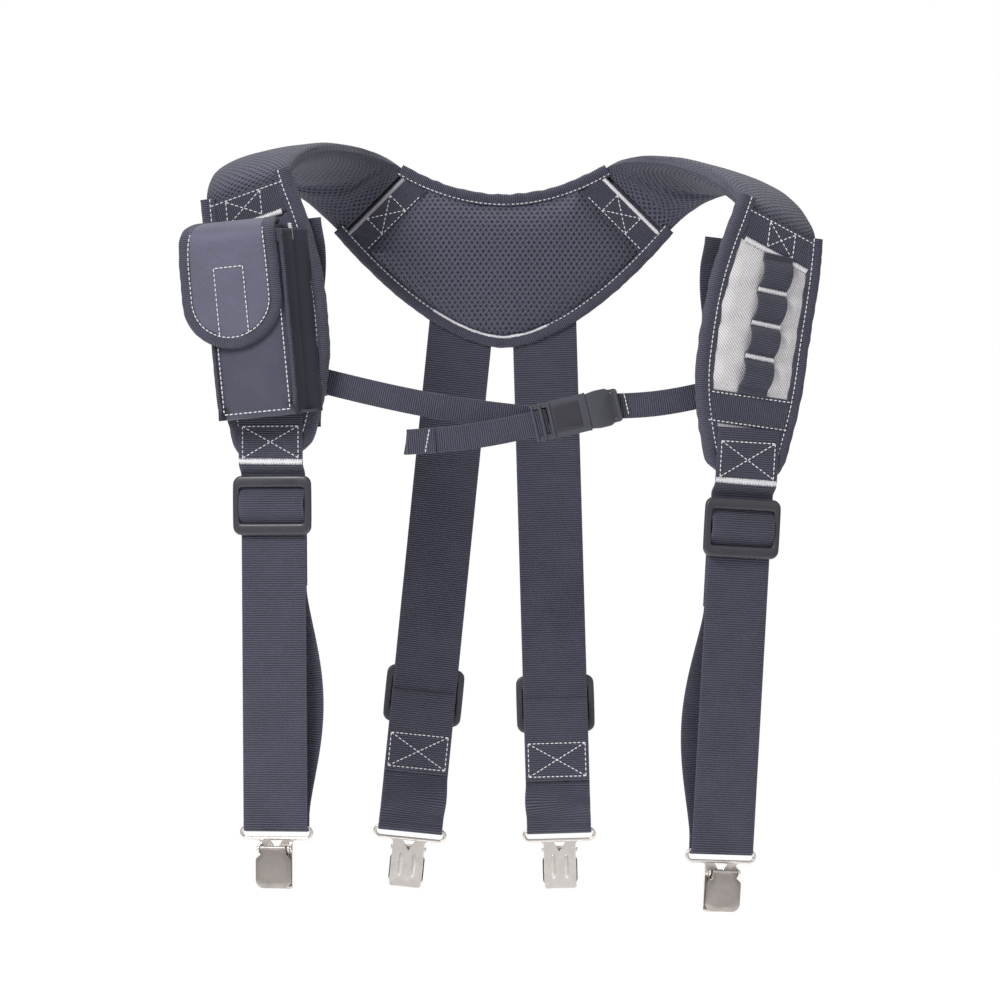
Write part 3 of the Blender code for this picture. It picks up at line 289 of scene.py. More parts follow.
def coated_fabric(name, colour, sheen=0.28):
    """Smooth close-woven cloth over thin foam, with a soft sheen."""
    s = Shader(name)
    grain = s.math("MULTIPLY", s.wave(s.u, 0.00085), s.wave(s.v, 0.00085))
    fuzz = s.noise(1800.0, 3.0)
    uneven = s.noise(28.0, 4.0)
    tone = s.mix(grain, shade(colour, 0.88), shade(colour, 1.10))
    tone = s.mix(s.remap(uneven, 0.3, 0.75, 0.0, 0.6), tone, shade(colour, 1.4))
    tone = s.mix(s.remap(s.noise(900.0, 2.0), 0.45, 0.7, 0.0, 0.5), tone, shade(colour, 0.6))
    tone = s.mix(s.remap(fuzz, 0.6, 0.8, 0.0, 0.5), tone, shade(colour, 2.0))
    s.set("Base Color", tone)
    s.set("Roughness", s.remap(uneven, 0.3, 0.7, 0.50, 0.62))
    s.set("Sheen Weight", sheen)
    s.set("Sheen Roughness", 0.4)
    s.set("Specular Tint", COOL)
    creases = s.bump(s.noise(45.0, 3.0), 0.0030, 0.45)
    s.set("Normal", s.bump(fuzz, 0.0001, 0.35, s.bump(grain, 0.00012, 0.5, creases)))
    return s.material


def nylon(name, colour):
    """Coarse light-grey nylon with a diagonal weave."""
    s = Shader(name)
    diagonal = s.math("ADD", s.u, s.math("MULTIPLY", s.v, 0.95))
    other = s.math("SUBTRACT", s.u, s.math("MULTIPLY", s.v, 0.95))
    cord = s.wave(diagonal, 0.0023)
    cross = s.wave(other, 0.0016)
    fuzz = s.noise(1500.0, 3.0)
    uneven = s.noise(45.0, 4.0)
    tone = s.mix(s.remap(cord, 0.05, 0.55), shade(colour, 0.50), colour)
    tone = s.mix(s.math("MULTIPLY", cross, 0.22), tone, shade(colour, 0.80))
    tone = s.mix(s.remap(uneven, 0.35, 0.8, 0.0, 0.25), tone, shade(colour, 0.72))
    tone = s.mix(s.remap(fuzz, 0.6, 0.8, 0.0, 0.4), tone, shade(colour, 1.25))
    s.set("Base Color", tone)
    s.set("Roughness", 0.52)
    s.set("Sheen Weight", 0.3)
    height = s.math("MULTIPLY_ADD", cross, 0.3, cord)
    s.set("Normal", s.bump(s.noise(40.0, 3.0), 0.0015, 0.3, s.bump(height, 0.0004, 0.8)))
    return s.material


def plastic(name, colour):
    """Satin moulded plastic with fine texture and convex edges painted paler as a painted highlight."""
    s = Shader(name)
    space = s.object_space()
    fine = s.noise(1400.0, 3.0, space=space)
    broad = s.noise(40.0, 4.0, space=space)
    geometry = s.nodes.new("ShaderNodeNewGeometry")
    # painted highlight: sharp convex edges, found by pointiness, painted up to three times lighter
    edge_highlight = s.remap(geometry.outputs["Pointiness"], 0.51, 0.60, 0.0, 0.6)
    tone = s.mix(s.remap(broad, 0.3, 0.7, 0.0, 0.5), colour, shade(colour, 1.5))
    tone = s.mix(edge_highlight, tone, shade(colour, 3.0))
    s.set("Base Color", tone)
    s.set("Roughness", s.remap(broad, 0.3, 0.7, 0.30, 0.44))
    s.set("Specular IOR Level", 0.55)
    s.set("Normal", s.bump(fine, 0.00008, 0.35))
    return s.material


def nickel(name, colour, rough=0.24):
    """Nickel-plated pressed steel: fine drawing marks, stains and darker pits."""
    s = Shader(name)
    space = s.object_space()
    stretch = s.nodes.new("ShaderNodeMapping")
    stretch.inputs["Scale"].default_value = (1.0, 1.0, 0.12)
    s.links.new(space, stretch.inputs["Vector"])
    lines = s.noise(1800.0, 2.0, space=stretch.outputs[0])
    stain = s.noise(120.0, 5.0, space=space)
    pits = s.noise(900.0, 2.0, space=space)
    tone = s.mix(s.remap(stain, 0.35, 0.75), colour, shade(colour, 0.74))
    tone = s.mix(s.remap(pits, 0.66, 0.78, 0.0, 0.6), tone, shade(colour, 0.35))
    s.set("Base Color", tone)
    s.set("Metallic", 0.88)
    s.set("Roughness", s.remap(stain, 0.3, 0.75, rough, rough + 0.16))
    s.set("Normal", s.bump(lines, 0.00006, 0.35))
    return s.material


def thread(name, colour):
    """Twisted polyester sewing thread."""
    s = Shader(name)
    twist = s.wave(s.math("ADD", s.v, s.math("MULTIPLY", s.u, 1.0)), 0.0011)
    soil = s.noise(60.0, 3.0, space=s.object_space())
    tone = s.mix(twist, shade(colour, 0.78), colour)
    tone = s.mix(s.remap(soil, 0.45, 0.8, 0.0, 0.35), tone, shade(colour, 0.7))
    s.set("Base Color", tone)
    s.set("Roughness", 0.55)
    s.set("Sheen Weight", 0.3)
    s.set("Normal", s.bump(twist, 0.0002, 0.6))
    return s.material


CHARCOAL = (0.066, 0.066, 0.092)
WEB = webbing("webbing_black", CHARCOAL)
CHEST = webbing("chest_webbing_black", shade(CHARCOAL, 1.1), 0.0016, 0.0010, CHEST_WIDTH / 2)
LOOP_WEB = webbing("loop_webbing_black", CHARCOAL, 0.0016, 0.0010, 0.0115)
END_WEB = webbing("end_webbing_black", CHARCOAL, 0.0014, 0.0014, 0.014)
TOP_WEB = webbing("top_webbing_black", shade(CHARCOAL, 1.0), 0.0016, 0.0010, 0.017)
TAPE = webbing("binding_tape", shade(CHARCOAL, 1.15), 0.0014, 0.0026, TAPE_WIDTH)
MESH = air_mesh("air_mesh_black", shade(CHARCOAL, 1.05))
CLOTH = coated_fabric("coated_fabric_black", shade(CHARCOAL, 0.95))
# painted light: the flap's cloth is the same coated fabric painted lighter, for the light falling on the
# flap
LIT_FLAP_CLOTH = coated_fabric("flap_fabric_painted_light", shade(CHARCOAL, 1.55), 0.30)
# painted shade: the pouch's side walls use the same coated fabric painted darker, for the shade on them
SHADED_GUSSET_CLOTH = coated_fabric("gusset_fabric_painted_shade", shade(CHARCOAL, 0.38), 0.1)
HOOK = coated_fabric("hook_and_loop_black", shade(CHARCOAL, 0.40), 0.1)
NYLON = nylon("nylon_light_grey", (0.84, 0.81, 0.83))
PLASTIC = plastic("satin_black_plastic", (0.030, 0.030, 0.038))
NICKEL = nickel("nickel_plate", (0.80, 0.75, 0.71))
# painted reflection: the clip cover is a copy of the nickel painted about half as bright, for the dimmer
# reflection its down-tilted face shows
SHADED_COVER_NICKEL = nickel("nickel_cover_painted_dark", (0.42, 0.38, 0.355), 0.27)
# darker copy of the nickel plate, used on the toothed jaw that sits under the cover
DARK_NICKEL = nickel("nickel_plate_darker", (0.40, 0.36, 0.34), 0.34)
THREAD_WHITE = thread("thread_white", (0.93, 0.92, 0.95))
# painted shade: a grey copy of the white thread, for the bar tack on the left wing, which lies in shade
THREAD_SHADED = thread("thread_painted_shade", (0.42, 0.42, 0.46))


# ---------------------------------------------------------------- mesh building
def piece(name, points, faces, uvs, material, matrix=None):
    """A mesh object in the row frame, with one Weave coordinate a vertex."""
    points = np.array([tuple(p) for p in points], float)
    if matrix is not None:
        rotation = np.array(matrix.to_3x3())
        points = points @ rotation.T + np.array(matrix.translation)
    mesh = bpy.data.meshes.new(name)
    mesh.from_pydata(points.tolist(), [], faces)
    layer = mesh.uv_layers.new(name=UV)
    corners = np.zeros(len(mesh.loops), np.int32)
    mesh.loops.foreach_get("vertex_index", corners)
    layer.data.foreach_set("uv", np.array(uvs, np.float32)[corners].ravel())
    mesh.polygons.foreach_set("use_smooth", np.full(len(mesh.polygons), True))
    mesh.materials.append(material)
    obj = bpy.data.objects.new(name, mesh)
    bpy.context.scene.collection.objects.link(obj)
    return obj


def fix_normals(obj):
    bm = bmesh.new()
    bm.from_mesh(obj.data)
    bmesh.ops.recalc_face_normals(bm, faces=bm.faces)
    bm.to_mesh(obj.data)
    bm.free()
    return obj


def resample(points, step):
    """Points at even steps along a polyline, both ends kept."""
    points = np.array([tuple(p) for p in points], float)
    lengths = np.r_[0.0, np.cumsum(np.linalg.norm(np.diff(points, axis=0), axis=1))]
    count = max(2, int(round(lengths[-1] / step)) + 1)
    at = np.linspace(0.0, lengths[-1], count)
    return [Vector([np.interp(a, lengths, points[:, k]) for k in range(3)]) for a in at]


def softened(points, passes=6):
    """Rounds the corners of a polyline without moving its ends."""
    points = np.array([tuple(p) for p in points], float)
    for _ in range(passes):
        points[1:-1] = (points[:-2] + 2 * points[1:-1] + points[2:]) / 4
    return [Vector(p) for p in points]


def along_path(points, across):
    """Frames (point, across, normal) down a path; `across` is one direction or one a point."""
    frames = []
    last = len(points) - 1
    for i, point in enumerate(points):
        side = Vector(across[i] if isinstance(across, list) else across)
        tangent = (points[min(last, i + 1)] - points[max(0, i - 1)]).normalized()
        side = (side - tangent * side.dot(tangent)).normalized()
        frames.append((point, side, side.cross(tangent).normalized()))
    return frames


def web_section(width, thick, across=10):
    """Closed section of a flat webbing with rounded selvedges: (across, normal) points."""
    flat, half = width / 2 - 0.55 * thick, thick / 2
    front = [((2 * i / across - 1) * flat, -half) for i in range(across + 1)]
    side = [(width / 2 - 0.12 * thick, -0.62 * half), (width / 2, 0.0),
            (width / 2 - 0.12 * thick, 0.62 * half)]
    back = [(-a, -b) for a, b in front]
    return front + side + back + [(-a, -b) for a, b in side]


def sweep(name, frames, section, material, matrix=None, ribs=0.0):
    """Section swept along frames. Ribs thin the odd stations, so cross ribs are real geometry."""
    points, uvs, run = [], [], 0.0
    for i, (point, side, normal) in enumerate(frames):
        if i:
            run += (point - frames[i - 1][0]).length
        dip = ribs if i % 2 else 0.0
        for a, b in section:
            reach = abs(b) - dip if b else 0.0
            edge = a - math.copysign(dip, a) * (0.7 if b == 0.0 else 0.0)
            points.append(point + side * edge + normal * math.copysign(reach, b))
            uvs.append((a, run))
    count, rows = len(section), len(frames)
    faces = []
    for i in range(rows - 1):
        here, after = i * count, (i + 1) * count
        for j in range(count):
            k = (j + 1) % count
            faces.append((here + j, here + k, after + k, after + j))
    faces.append(tuple(range(count)))
    faces.append(tuple(reversed(range((rows - 1) * count, rows * count))))
    return fix_normals(piece(name, points, faces, uvs, material, matrix))


def webbing_strip(name, path, material, matrix=None, width=WEB_WIDTH, thick=WEB_THICK, across=(1, 0, 0),
                  rib=RIB, depth=0.00014, passes=4, columns=10):
    """Ribbed webbing along a path."""
    points = softened(resample(path, rib / 2), passes)
    if isinstance(across, tuple) and len(across) == 2:
        start, end = Vector(across[0]), Vector(across[1])
        across = [start.lerp(end, i / (len(points) - 1)) for i in range(len(points))]
    frames = along_path(points, across)
    return sweep(name, frames, web_section(width, thick, columns), material, matrix, ribs=depth)


def closed_pad(name, rows, columns, front, back, material, uv, matrix=None):
    """Closed pad between two surfaces on one grid. Front points come first, row by row."""
    points, uvs = [], []
    for surface in (front, back):
        for i in range(rows + 1):
            for j in range(columns + 1):
                points.append(surface(i / rows, j / columns))
                uvs.append(uv(i / rows, j / columns))
    wide, layer = columns + 1, (rows + 1) * (columns + 1)
    faces = []
    for start in (0, layer):
        for i in range(rows):
            for j in range(columns):
                k = start + i * wide + j
                faces.append((k, k + 1, k + wide + 1, k + wide))
    rim = [(i, 0) for i in range(rows)] + [(rows, j) for j in range(columns)]
    rim += [(i, columns) for i in range(rows, 0, -1)] + [(0, j) for j in range(columns, 0, -1)]
    rim = [i * wide + j for i, j in rim]
    for a, b in zip(rim, rim[1:] + rim[:1]):
        faces.append((a, b, layer + b, layer + a))
    obj = fix_normals(piece(name, points, faces, uvs, material, matrix))
    obj["rim"] = rim
    obj["layer"] = layer
    return obj


def puff(obj, pinned, pressure=4.0, cap=0.006, frames=20, stiffness=12.0):
    """Cloth pass: the closed mesh swells between its pinned points, no point further than cap."""
    start = np.zeros(len(obj.data.vertices) * 3)
    obj.data.vertices.foreach_get("co", start)
    group = obj.vertex_groups.new(name="pin")
    group.add(sorted(set(pinned)), 1.0, "REPLACE")
    modifier = obj.modifiers.new("Cloth", "CLOTH")
    cloth = modifier.settings
    cloth.use_pressure = True
    cloth.uniform_pressure_force = pressure
    cloth.tension_stiffness = cloth.compression_stiffness = stiffness
    cloth.shear_stiffness = stiffness / 2
    cloth.bending_stiffness = 0.6
    cloth.mass = 0.3
    cloth.quality = 6
    cloth.effector_weights.gravity = 0.0
    cloth.vertex_group_mass = "pin"
    scene = bpy.context.scene
    for number in range(1, frames + 1):
        scene.frame_set(number)
    graph = bpy.context.evaluated_depsgraph_get()
    mesh = bpy.data.meshes.new_from_object(obj.evaluated_get(graph), preserve_all_data_layers=True,
                                           depsgraph=graph)
    moved = np.zeros(len(mesh.vertices) * 3)
    mesh.vertices.foreach_get("co", moved)
    shift = (moved - start).reshape(-1, 3)
    reach = np.linalg.norm(shift, axis=1, keepdims=True)
    shift *= np.minimum(1.0, cap / np.maximum(reach, 1e-9))
    if not np.isfinite(shift).all():
        shift[:] = 0.0
    mesh.vertices.foreach_set("co", (start.reshape(-1, 3) + shift).ravel())
    obj.modifiers.remove(modifier)
    obj.data = mesh
    scene.frame_set(1)
    return obj


def subdivide(obj, levels=1):
    modifier = obj.modifiers.new("Smooth", "SUBSURF")
    modifier.levels = modifier.render_levels = levels
    modifier.boundary_smooth = "PRESERVE_CORNERS"
    return obj


def bevelled(obj, width, segments=2, angle=35):
    modifier = obj.modifiers.new("Edges", "BEVEL")
    modifier.width = width
    modifier.segments = segments
    modifier.limit_method = "ANGLE"
    modifier.angle_limit = math.radians(angle)
    modifier.harden_normals = False
    return obj


def attach(obj, body, node=None):
    """Rides a piece on a body and the CAD node that it stands for."""
    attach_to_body(obj, body)
    if node:
        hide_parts(node)


# ---------------------------------------------------------------- stitching
class Stitches:
    """Collects thread stitches in a local frame and turns them into one piece."""

    def __init__(self):
        self.points, self.faces, self.uvs = [], [], []

    def one(self, start, end, normal, radius=THREAD, lift=0.00030):
        """One stitch that dives into the cloth at both ends."""
        start, end, normal = Vector(start), Vector(end), Vector(normal).normalized()
        along = end - start
        length = along.length
        side = along.normalized().cross(normal)
        first = len(self.points)
        profile = ((0.0, -0.6, 0.35), (0.14, 0.35, 0.85), (0.5, 1.0, 1.0), (0.86, 0.35, 0.85),
                   (1.0, -0.6, 0.35))
        for t, height, fat in profile:
            centre = start + along * t + normal * lift * height
            for k in range(6):
                angle = math.pi * k / 3
                offset = side * math.cos(angle) + normal * math.sin(angle)
                self.points.append(centre + offset * radius * fat)
                self.uvs.append((k * radius, t * length))
        for i in range(len(profile) - 1):
            for k in range(6):
                a, b = first + 6 * i + k, first + 6 * i + (k + 1) % 6
                self.faces.append((a, b, b + 6, a + 6))
        self.faces.append(tuple(range(first + 5, first - 1, -1)))
        last = first + 6 * (len(profile) - 1)
        self.faces.append(tuple(range(last, last + 6)))

    def line(self, path, normal, length=STITCH, gap=STITCH_GAP, radius=THREAD):
        """Running stitch along a path; the normal is one direction, or a function of a point."""
        path = [Vector(p) for p in path]
        total = sum((b - a).length for a, b in zip(path, path[1:]))
        count = max(1, round((total + gap) / (length + gap)))
        pitch = (total + gap) / count
        places = resample(path, 0.0004)
        step = total / (len(places) - 1)
        for i in range(count):
            a = places[min(len(places) - 1, round(i * pitch / step))]
            b = places[min(len(places) - 1, round((i * pitch + pitch - gap) / step))]
            if (b - a).length < length * 0.3:
                continue
            face = normal((a + b) / 2) if callable(normal) else normal
            self.one(a, b, face, radius)

    def tack(self, start, end, normal, width=0.0040, pitch=0.00062, radius=0.00040):
        """Bar tack: a dense zigzag between two points."""
        start, end, normal = Vector(start), Vector(end), Vector(normal).normalized()
        along = (end - start).normalized()
        side = along.cross(normal).normalized()
        count = max(2, int((end - start).length / pitch))
        for i in range(count):
            base = start.lerp(end, (i + 0.5) / count)
            wild = noise.noise(base * 900.0)
            half = width / 2 * (1 + 0.16 * wild)
            lean = along * pitch * (0.9 + 0.5 * noise.noise(base * 500.0))
            turn = 1 if i % 2 else -1
            self.one(base - side * half * turn - lean / 2, base + side * half * turn + lean / 2,
                     normal, radius, 0.00045)

    def box_cross(self, corners, normal, skip=()):
        """Box with an X, the usual way of sewing down webbing; corners go round the box."""
        corners = [Vector(c) for c in corners]
        for i in range(4):
            if i not in skip:
                self.line([corners[i], corners[(i + 1) % 4]], normal)
        self.line([corners[0], corners[2]], normal)
        self.line([corners[1], corners[3]], normal)

    def piece(self, name, matrix=None, material=None):
        return piece(name, self.points, self.faces, self.uvs, material or THREAD_WHITE, matrix)


# ---------------------------------------------------------------- hard parts
def arc(cx, cz, radius, start, end, steps):
    turn = [math.radians(start + (end - start) * i / steps) for i in range(steps + 1)]
    return [(cx + radius * math.cos(a), cz + radius * math.sin(a)) for a in turn]


def rounded_loop(half_x, half_z, radius, corner=5, centre=(0.0, 0.0)):
    """Rounded rectangle with a fixed number of points, so that loops of any size match."""
    points = []
    for quarter, (sx, sz) in enumerate(((1, 1), (-1, 1), (-1, -1), (1, -1))):
        x, z = centre[0] + sx * (half_x - radius), centre[1] + sz * (half_z - radius)
        points += arc(x, z, radius, 90 * quarter, 90 * quarter + 90, corner)
    return points


def inset(points, distance):
    """Closed outline moved inwards along its corner bisectors."""
    count = len(points)
    area = sum(points[i][0] * points[(i + 1) % count][1] - points[(i + 1) % count][0] * points[i][1]
               for i in range(count))
    turn = math.copysign(1.0, area)
    result = []
    for i in range(count):
        before = Vector(points[i]) - Vector(points[i - 1])
        after = Vector(points[(i + 1) % count]) - Vector(points[i])
        first = Vector((-before.y, before.x)).normalized() * turn
        second = Vector((-after.y, after.x)).normalized() * turn
        bisector = (first + second).normalized()
        moved = Vector(points[i]) + bisector * (distance / max(0.35, bisector.dot(first)))
        result.append((moved.x, moved.y))
    return result


class Solid:
    """Collects islands of one hard piece in a local frame."""

    def __init__(self):
        self.points, self.faces = [], []

    def loft(self, loops, ring=False):
        """Loops of (x, y, z) with equal counts, joined in order; a ring joins the last to the first."""
        first, count = len(self.points), len(loops[0])
        for loop in loops:
            self.points += [Vector(p) for p in loop]
        rows = len(loops)
        for i in range(rows if ring else rows - 1):
            here, after = first + i * count, first + ((i + 1) % rows) * count
            for j in range(count):
                k = (j + 1) % count
                self.faces.append((here + j, here + k, after + k, after + j))
        if not ring:
            self.faces.append(tuple(range(first + count - 1, first - 1, -1)))
            last = first + (rows - 1) * count
            self.faces.append(tuple(range(last, last + count)))

    def ring(self, sections):
        """Closed ring through rounded rectangles, each (half x, half z, corner radius, y)."""
        self.loft([[(x, y, z) for x, z in rounded_loop(half_x, half_z, radius)]
                   for half_x, half_z, radius, y in sections], ring=True)

    def plate(self, outline, y_low, y_high, edge=0.0003):
        """Flat plate with eased edges."""
        tight = inset(outline, edge)
        self.loft([[(x, y_low, z) for x, z in tight], [(x, y_low + edge, z) for x, z in outline],
                   [(x, y_high - edge, z) for x, z in outline], [(x, y_high, z) for x, z in tight]])

    def box(self, low, high, edge=0.0003):
        x0, y0, z0 = low
        x1, y1, z1 = high
        self.plate([(x0, z0), (x1, z0), (x1, z1), (x0, z1)], y0, y1, edge)

    def rod(self, centre, radius, half_length, sides=20, edge=0.0003):
        """Rod along X with eased ends."""
        loops = []
        for x, r in ((-half_length, radius - edge), (-half_length + edge, radius),
                     (half_length - edge, radius), (half_length, radius - edge)):
            loops.append([(centre[0] + x, centre[1] + b, centre[2] + c)
                          for b, c in arc(0, 0, r, 0, 360 * (1 - 1 / sides), sides - 1)])
        self.loft(loops)

    def tube(self, path, radius, sides=12, closed=False, flatten=1.0):
        """Round wire along a path in the XZ plane."""
        loops = []
        count = len(path)
        for i, point in enumerate(path):
            before = Vector(path[i - 1 if (i or closed) else 0])
            after = Vector(path[(i + 1) % count if (i < count - 1 or closed) else count - 1])
            tangent = (after - before).normalized()
            side = tangent.cross(Vector((0, 1, 0)))
            loops.append([Vector(point) + side * radius * math.cos(2 * math.pi * k / sides)
                          + Vector((0, 1, 0)) * radius * flatten * math.sin(2 * math.pi * k / sides)
                          for k in range(sides)])
        self.loft(loops, ring=closed)

    def bump(self, centre, half, sides=16, rings=6):
        """Pressed bead: a flattened dome, long in Z, standing out along Y."""
        loops = []
        for i in range(rings + 1):
            angle = math.pi / 2 * i / rings
            share, rise = math.cos(angle), math.sin(angle)
            share = max(share, 0.05)
            loops.append([(centre[0] + half[0] * share * math.copysign(abs(math.cos(a)) ** 0.8,
                                                                       math.cos(a)),
                           centre[1] + half[1] * rise,
                           centre[2] + (half[2] - half[0] + half[0] * share)
                           * math.copysign(abs(math.sin(a)) ** 0.6, math.sin(a)))
                          for a in [2 * math.pi * k / sides for k in range(sides)]])
        self.loft(loops)

    def piece(self, name, material, matrix, angle=40):
        uvs = [(p[0], p[2]) for p in self.points]
        obj = fix_normals(piece(name, self.points, self.faces, uvs, material, matrix))
        obj.data.set_sharp_from_angle(angle=math.radians(angle))
        return obj


def at(loop, y):
    return [(x, y, z) for x, z in loop]


def slider_piece(name, matrix):
    half_x, half_z = SLIDER_WIDTH / 2, SLIDER_HEIGHT / 2
    win_x, win_z = WEB_WIDTH / 2 + 0.0001, half_z - SLIDER_BAR
    solid = Solid()
    front, rear = SLIDER_FRONT, SLIDER_REAR
    solid.ring([(half_x - 0.0009, half_z - 0.0009, 0.0062, rear),
                (half_x - 0.0002, half_z - 0.0002, 0.0068, rear - 0.0006),
                (half_x, half_z, 0.0070, rear - 0.0016),
                (half_x - 0.0001, half_z - 0.0001, 0.0070, front + 0.0014),
                (half_x - 0.0008, half_z - 0.0008, 0.0064, front + 0.0004),
                (half_x - 0.0020, half_z - 0.0022, 0.0055, front),
                (win_x + 0.0015, win_z + 0.0018, 0.0034, front - 0.0002),
                (win_x + 0.0005, win_z + 0.0006, 0.0026, front + 0.0003),
                (win_x, win_z, 0.0022, front + 0.0012),
                (win_x, win_z, 0.0022, rear - 0.0008),
                (win_x + 0.0006, win_z + 0.0006, 0.0026, rear)])
    solid.box((-win_x - 0.002, -0.0024, -0.0018), (win_x + 0.002, -0.0004, 0.0018), 0.0004)
    return subdivide(solid.piece(name, PLASTIC, matrix), 1)


def clip_pieces(strap, clip, lever):
    """Steel clip: wire loop and pressed plate, rivet, sprung cover and toothed jaw."""
    low, high = local_box(f"{strap}_clip_frame", clip)
    bottom, half = low.z, 0.0125
    wire = 0.00135
    loop_x, loop_low = high.x - wire, high.z - 0.011 + wire
    solid = Solid()
    path = [(x, 0.0, z) for x, z in rounded_loop(loop_x, (high.z - wire - loop_low) / 2, 0.0040, 8,
                                                 (0.0, (high.z - wire + loop_low) / 2))]
    solid.tube(path, wire, 14, closed=True, flatten=0.85)
    neck = loop_low + 0.0006
    outline = [(0.0, neck - 0.0094), (-0.0050, neck - 0.0016), (-0.0050, neck), (-0.0175, neck),
               (-0.0160, neck - 0.0012), (-half - 0.0006, neck - 0.0028), (-half, neck - 0.0042),
               (-half, bottom + 0.0020), (-half + 0.0012, bottom)]
    outline += [(-x, z) for x, z in reversed(outline[1:])]
    solid.plate(outline, -0.0008, 0.0008)
    frame_piece = solid.piece(f"{strap}_clip_plate", NICKEL, clip)

    trim = Solid()
    for x in (-0.0052, 0.0052):
        trim.bump((x, 0.0003, -0.0290), (0.0018, 0.0010, 0.0098))
    trim.box((-half, -0.0024, bottom + 0.0010), (half, -0.0004, bottom + 0.0024))
    origin = clip.inverted() @ lever.translation
    for side in (-1, 1):
        profile = arc(origin.y, origin.z, 0.0034, 150, 330, 8)
        profile = [(0.0, origin.z + 0.0052)] + profile + [(0.0, origin.z - 0.0052)]
        x0, x1 = sorted((side * (half - 0.0002), side * (half - 0.0014)))
        trim.loft([[(x0, y, z) for y, z in profile], [(x1, y, z) for y, z in profile]])
    trim_piece = trim.piece(f"{strap}_clip_pressings", NICKEL, clip)
    for part in (frame_piece, trim_piece):
        attach(part, f"{strap}_clip")
    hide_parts(f"{strap}_clip_frame")

    pin = Solid()
    reach = half + 0.0003
    pin.rod(origin, 0.00125, reach + 0.0002, 18)
    for side in (-1, 1):
        heads = []
        for x, r in ((0.0, 0.0022), (0.0005, 0.0022), (0.0009, 0.0017), (0.0010, 0.0006)):
            heads.append([(side * (reach + x), origin.y + b, origin.z + c)
                          for b, c in arc(0, 0, r, 0, 342, 19)])
        pin.loft(heads)
    pin_piece = pin.piece(f"{strap}_clip_rivet", NICKEL, clip)
    attach(pin_piece, f"{strap}_clip", f"{strap}_clip_pin")

    # cover about the pin axis: narrow hinge end, full width below, rounded foot
    cover = Solid()
    foot, wide, slim = -0.029, 0.0135, 0.0099
    half_outline = [(slim, 0.0018), (slim, -0.0042), (wide - 0.0006, -0.0066), (wide, -0.0082)]
    half_outline += arc(wide - 0.0062, foot + 0.0062, 0.0062, 0, -90, 7)
    outline = half_outline + [(-x, z) for x, z in reversed(half_outline)]
    front = -0.0052

    def bowed(shape, y):
        return [(x, y + 0.0009 * (x / wide) ** 2, z) for x, z in shape]

    cover.loft([bowed(inset(outline, 0.0010), -0.0040), at(inset(outline, 0.0009), -0.0016),
                at(outline, -0.0014), at(outline, -0.0038), bowed(inset(outline, 0.0003), -0.0047),
                bowed(inset(outline, 0.0012), front), bowed(inset(outline, 0.0040), front - 0.0001)])
    cover.rod((0.0, -0.0012, 0.0), 0.0024, slim - 0.0006, 20)
    cover.rod((0.0, -0.0040, 0.0012), 0.0013, slim, 16)
    cover_piece = cover.piece(f"{strap}_clip_cover", SHADED_COVER_NICKEL, lever)
    attach(cover_piece, f"{strap}_lever", f"{strap}_clip_lever")

    jaw = Solid()
    jaw.box((-0.0105, 0.0012, -0.0262), (0.0105, 0.0024, -0.0020))
    jaw.rod((0.0, 0.0, 0.0), 0.0023, 0.0080, 16)
    for i in range(7):
        x = (i - 3) * 0.0029
        jaw.plate([(x - 0.0013, -0.0248), (x, -0.0262), (x + 0.0013, -0.0248)], 0.0010, 0.0046, 0.0001)
    jaw.box((-0.0105, 0.0012, -0.0252), (0.0105, 0.0042, -0.0240))
    jaw_piece = jaw.piece(f"{strap}_clip_toothed_jaw", DARK_NICKEL, lever)
    attach(jaw_piece, f"{strap}_jaw", f"{strap}_clip_jaw")


# ---------------------------------------------------------------- straps
ANCHOR_Y = -0.00625
ANCHOR_HEIGHT = {"front_left": 0.028, "front_right": 0.031}
ANCHOR_TOP = {"front_left": 0.036, "front_right": 0.0388}
RETURN_SHAPE = {"front_left": (0.011, 0.009), "front_right": (0.011, -0.008),
                "rear_left": (0.003, -0.001), "rear_right": (0.003, 0.001)}


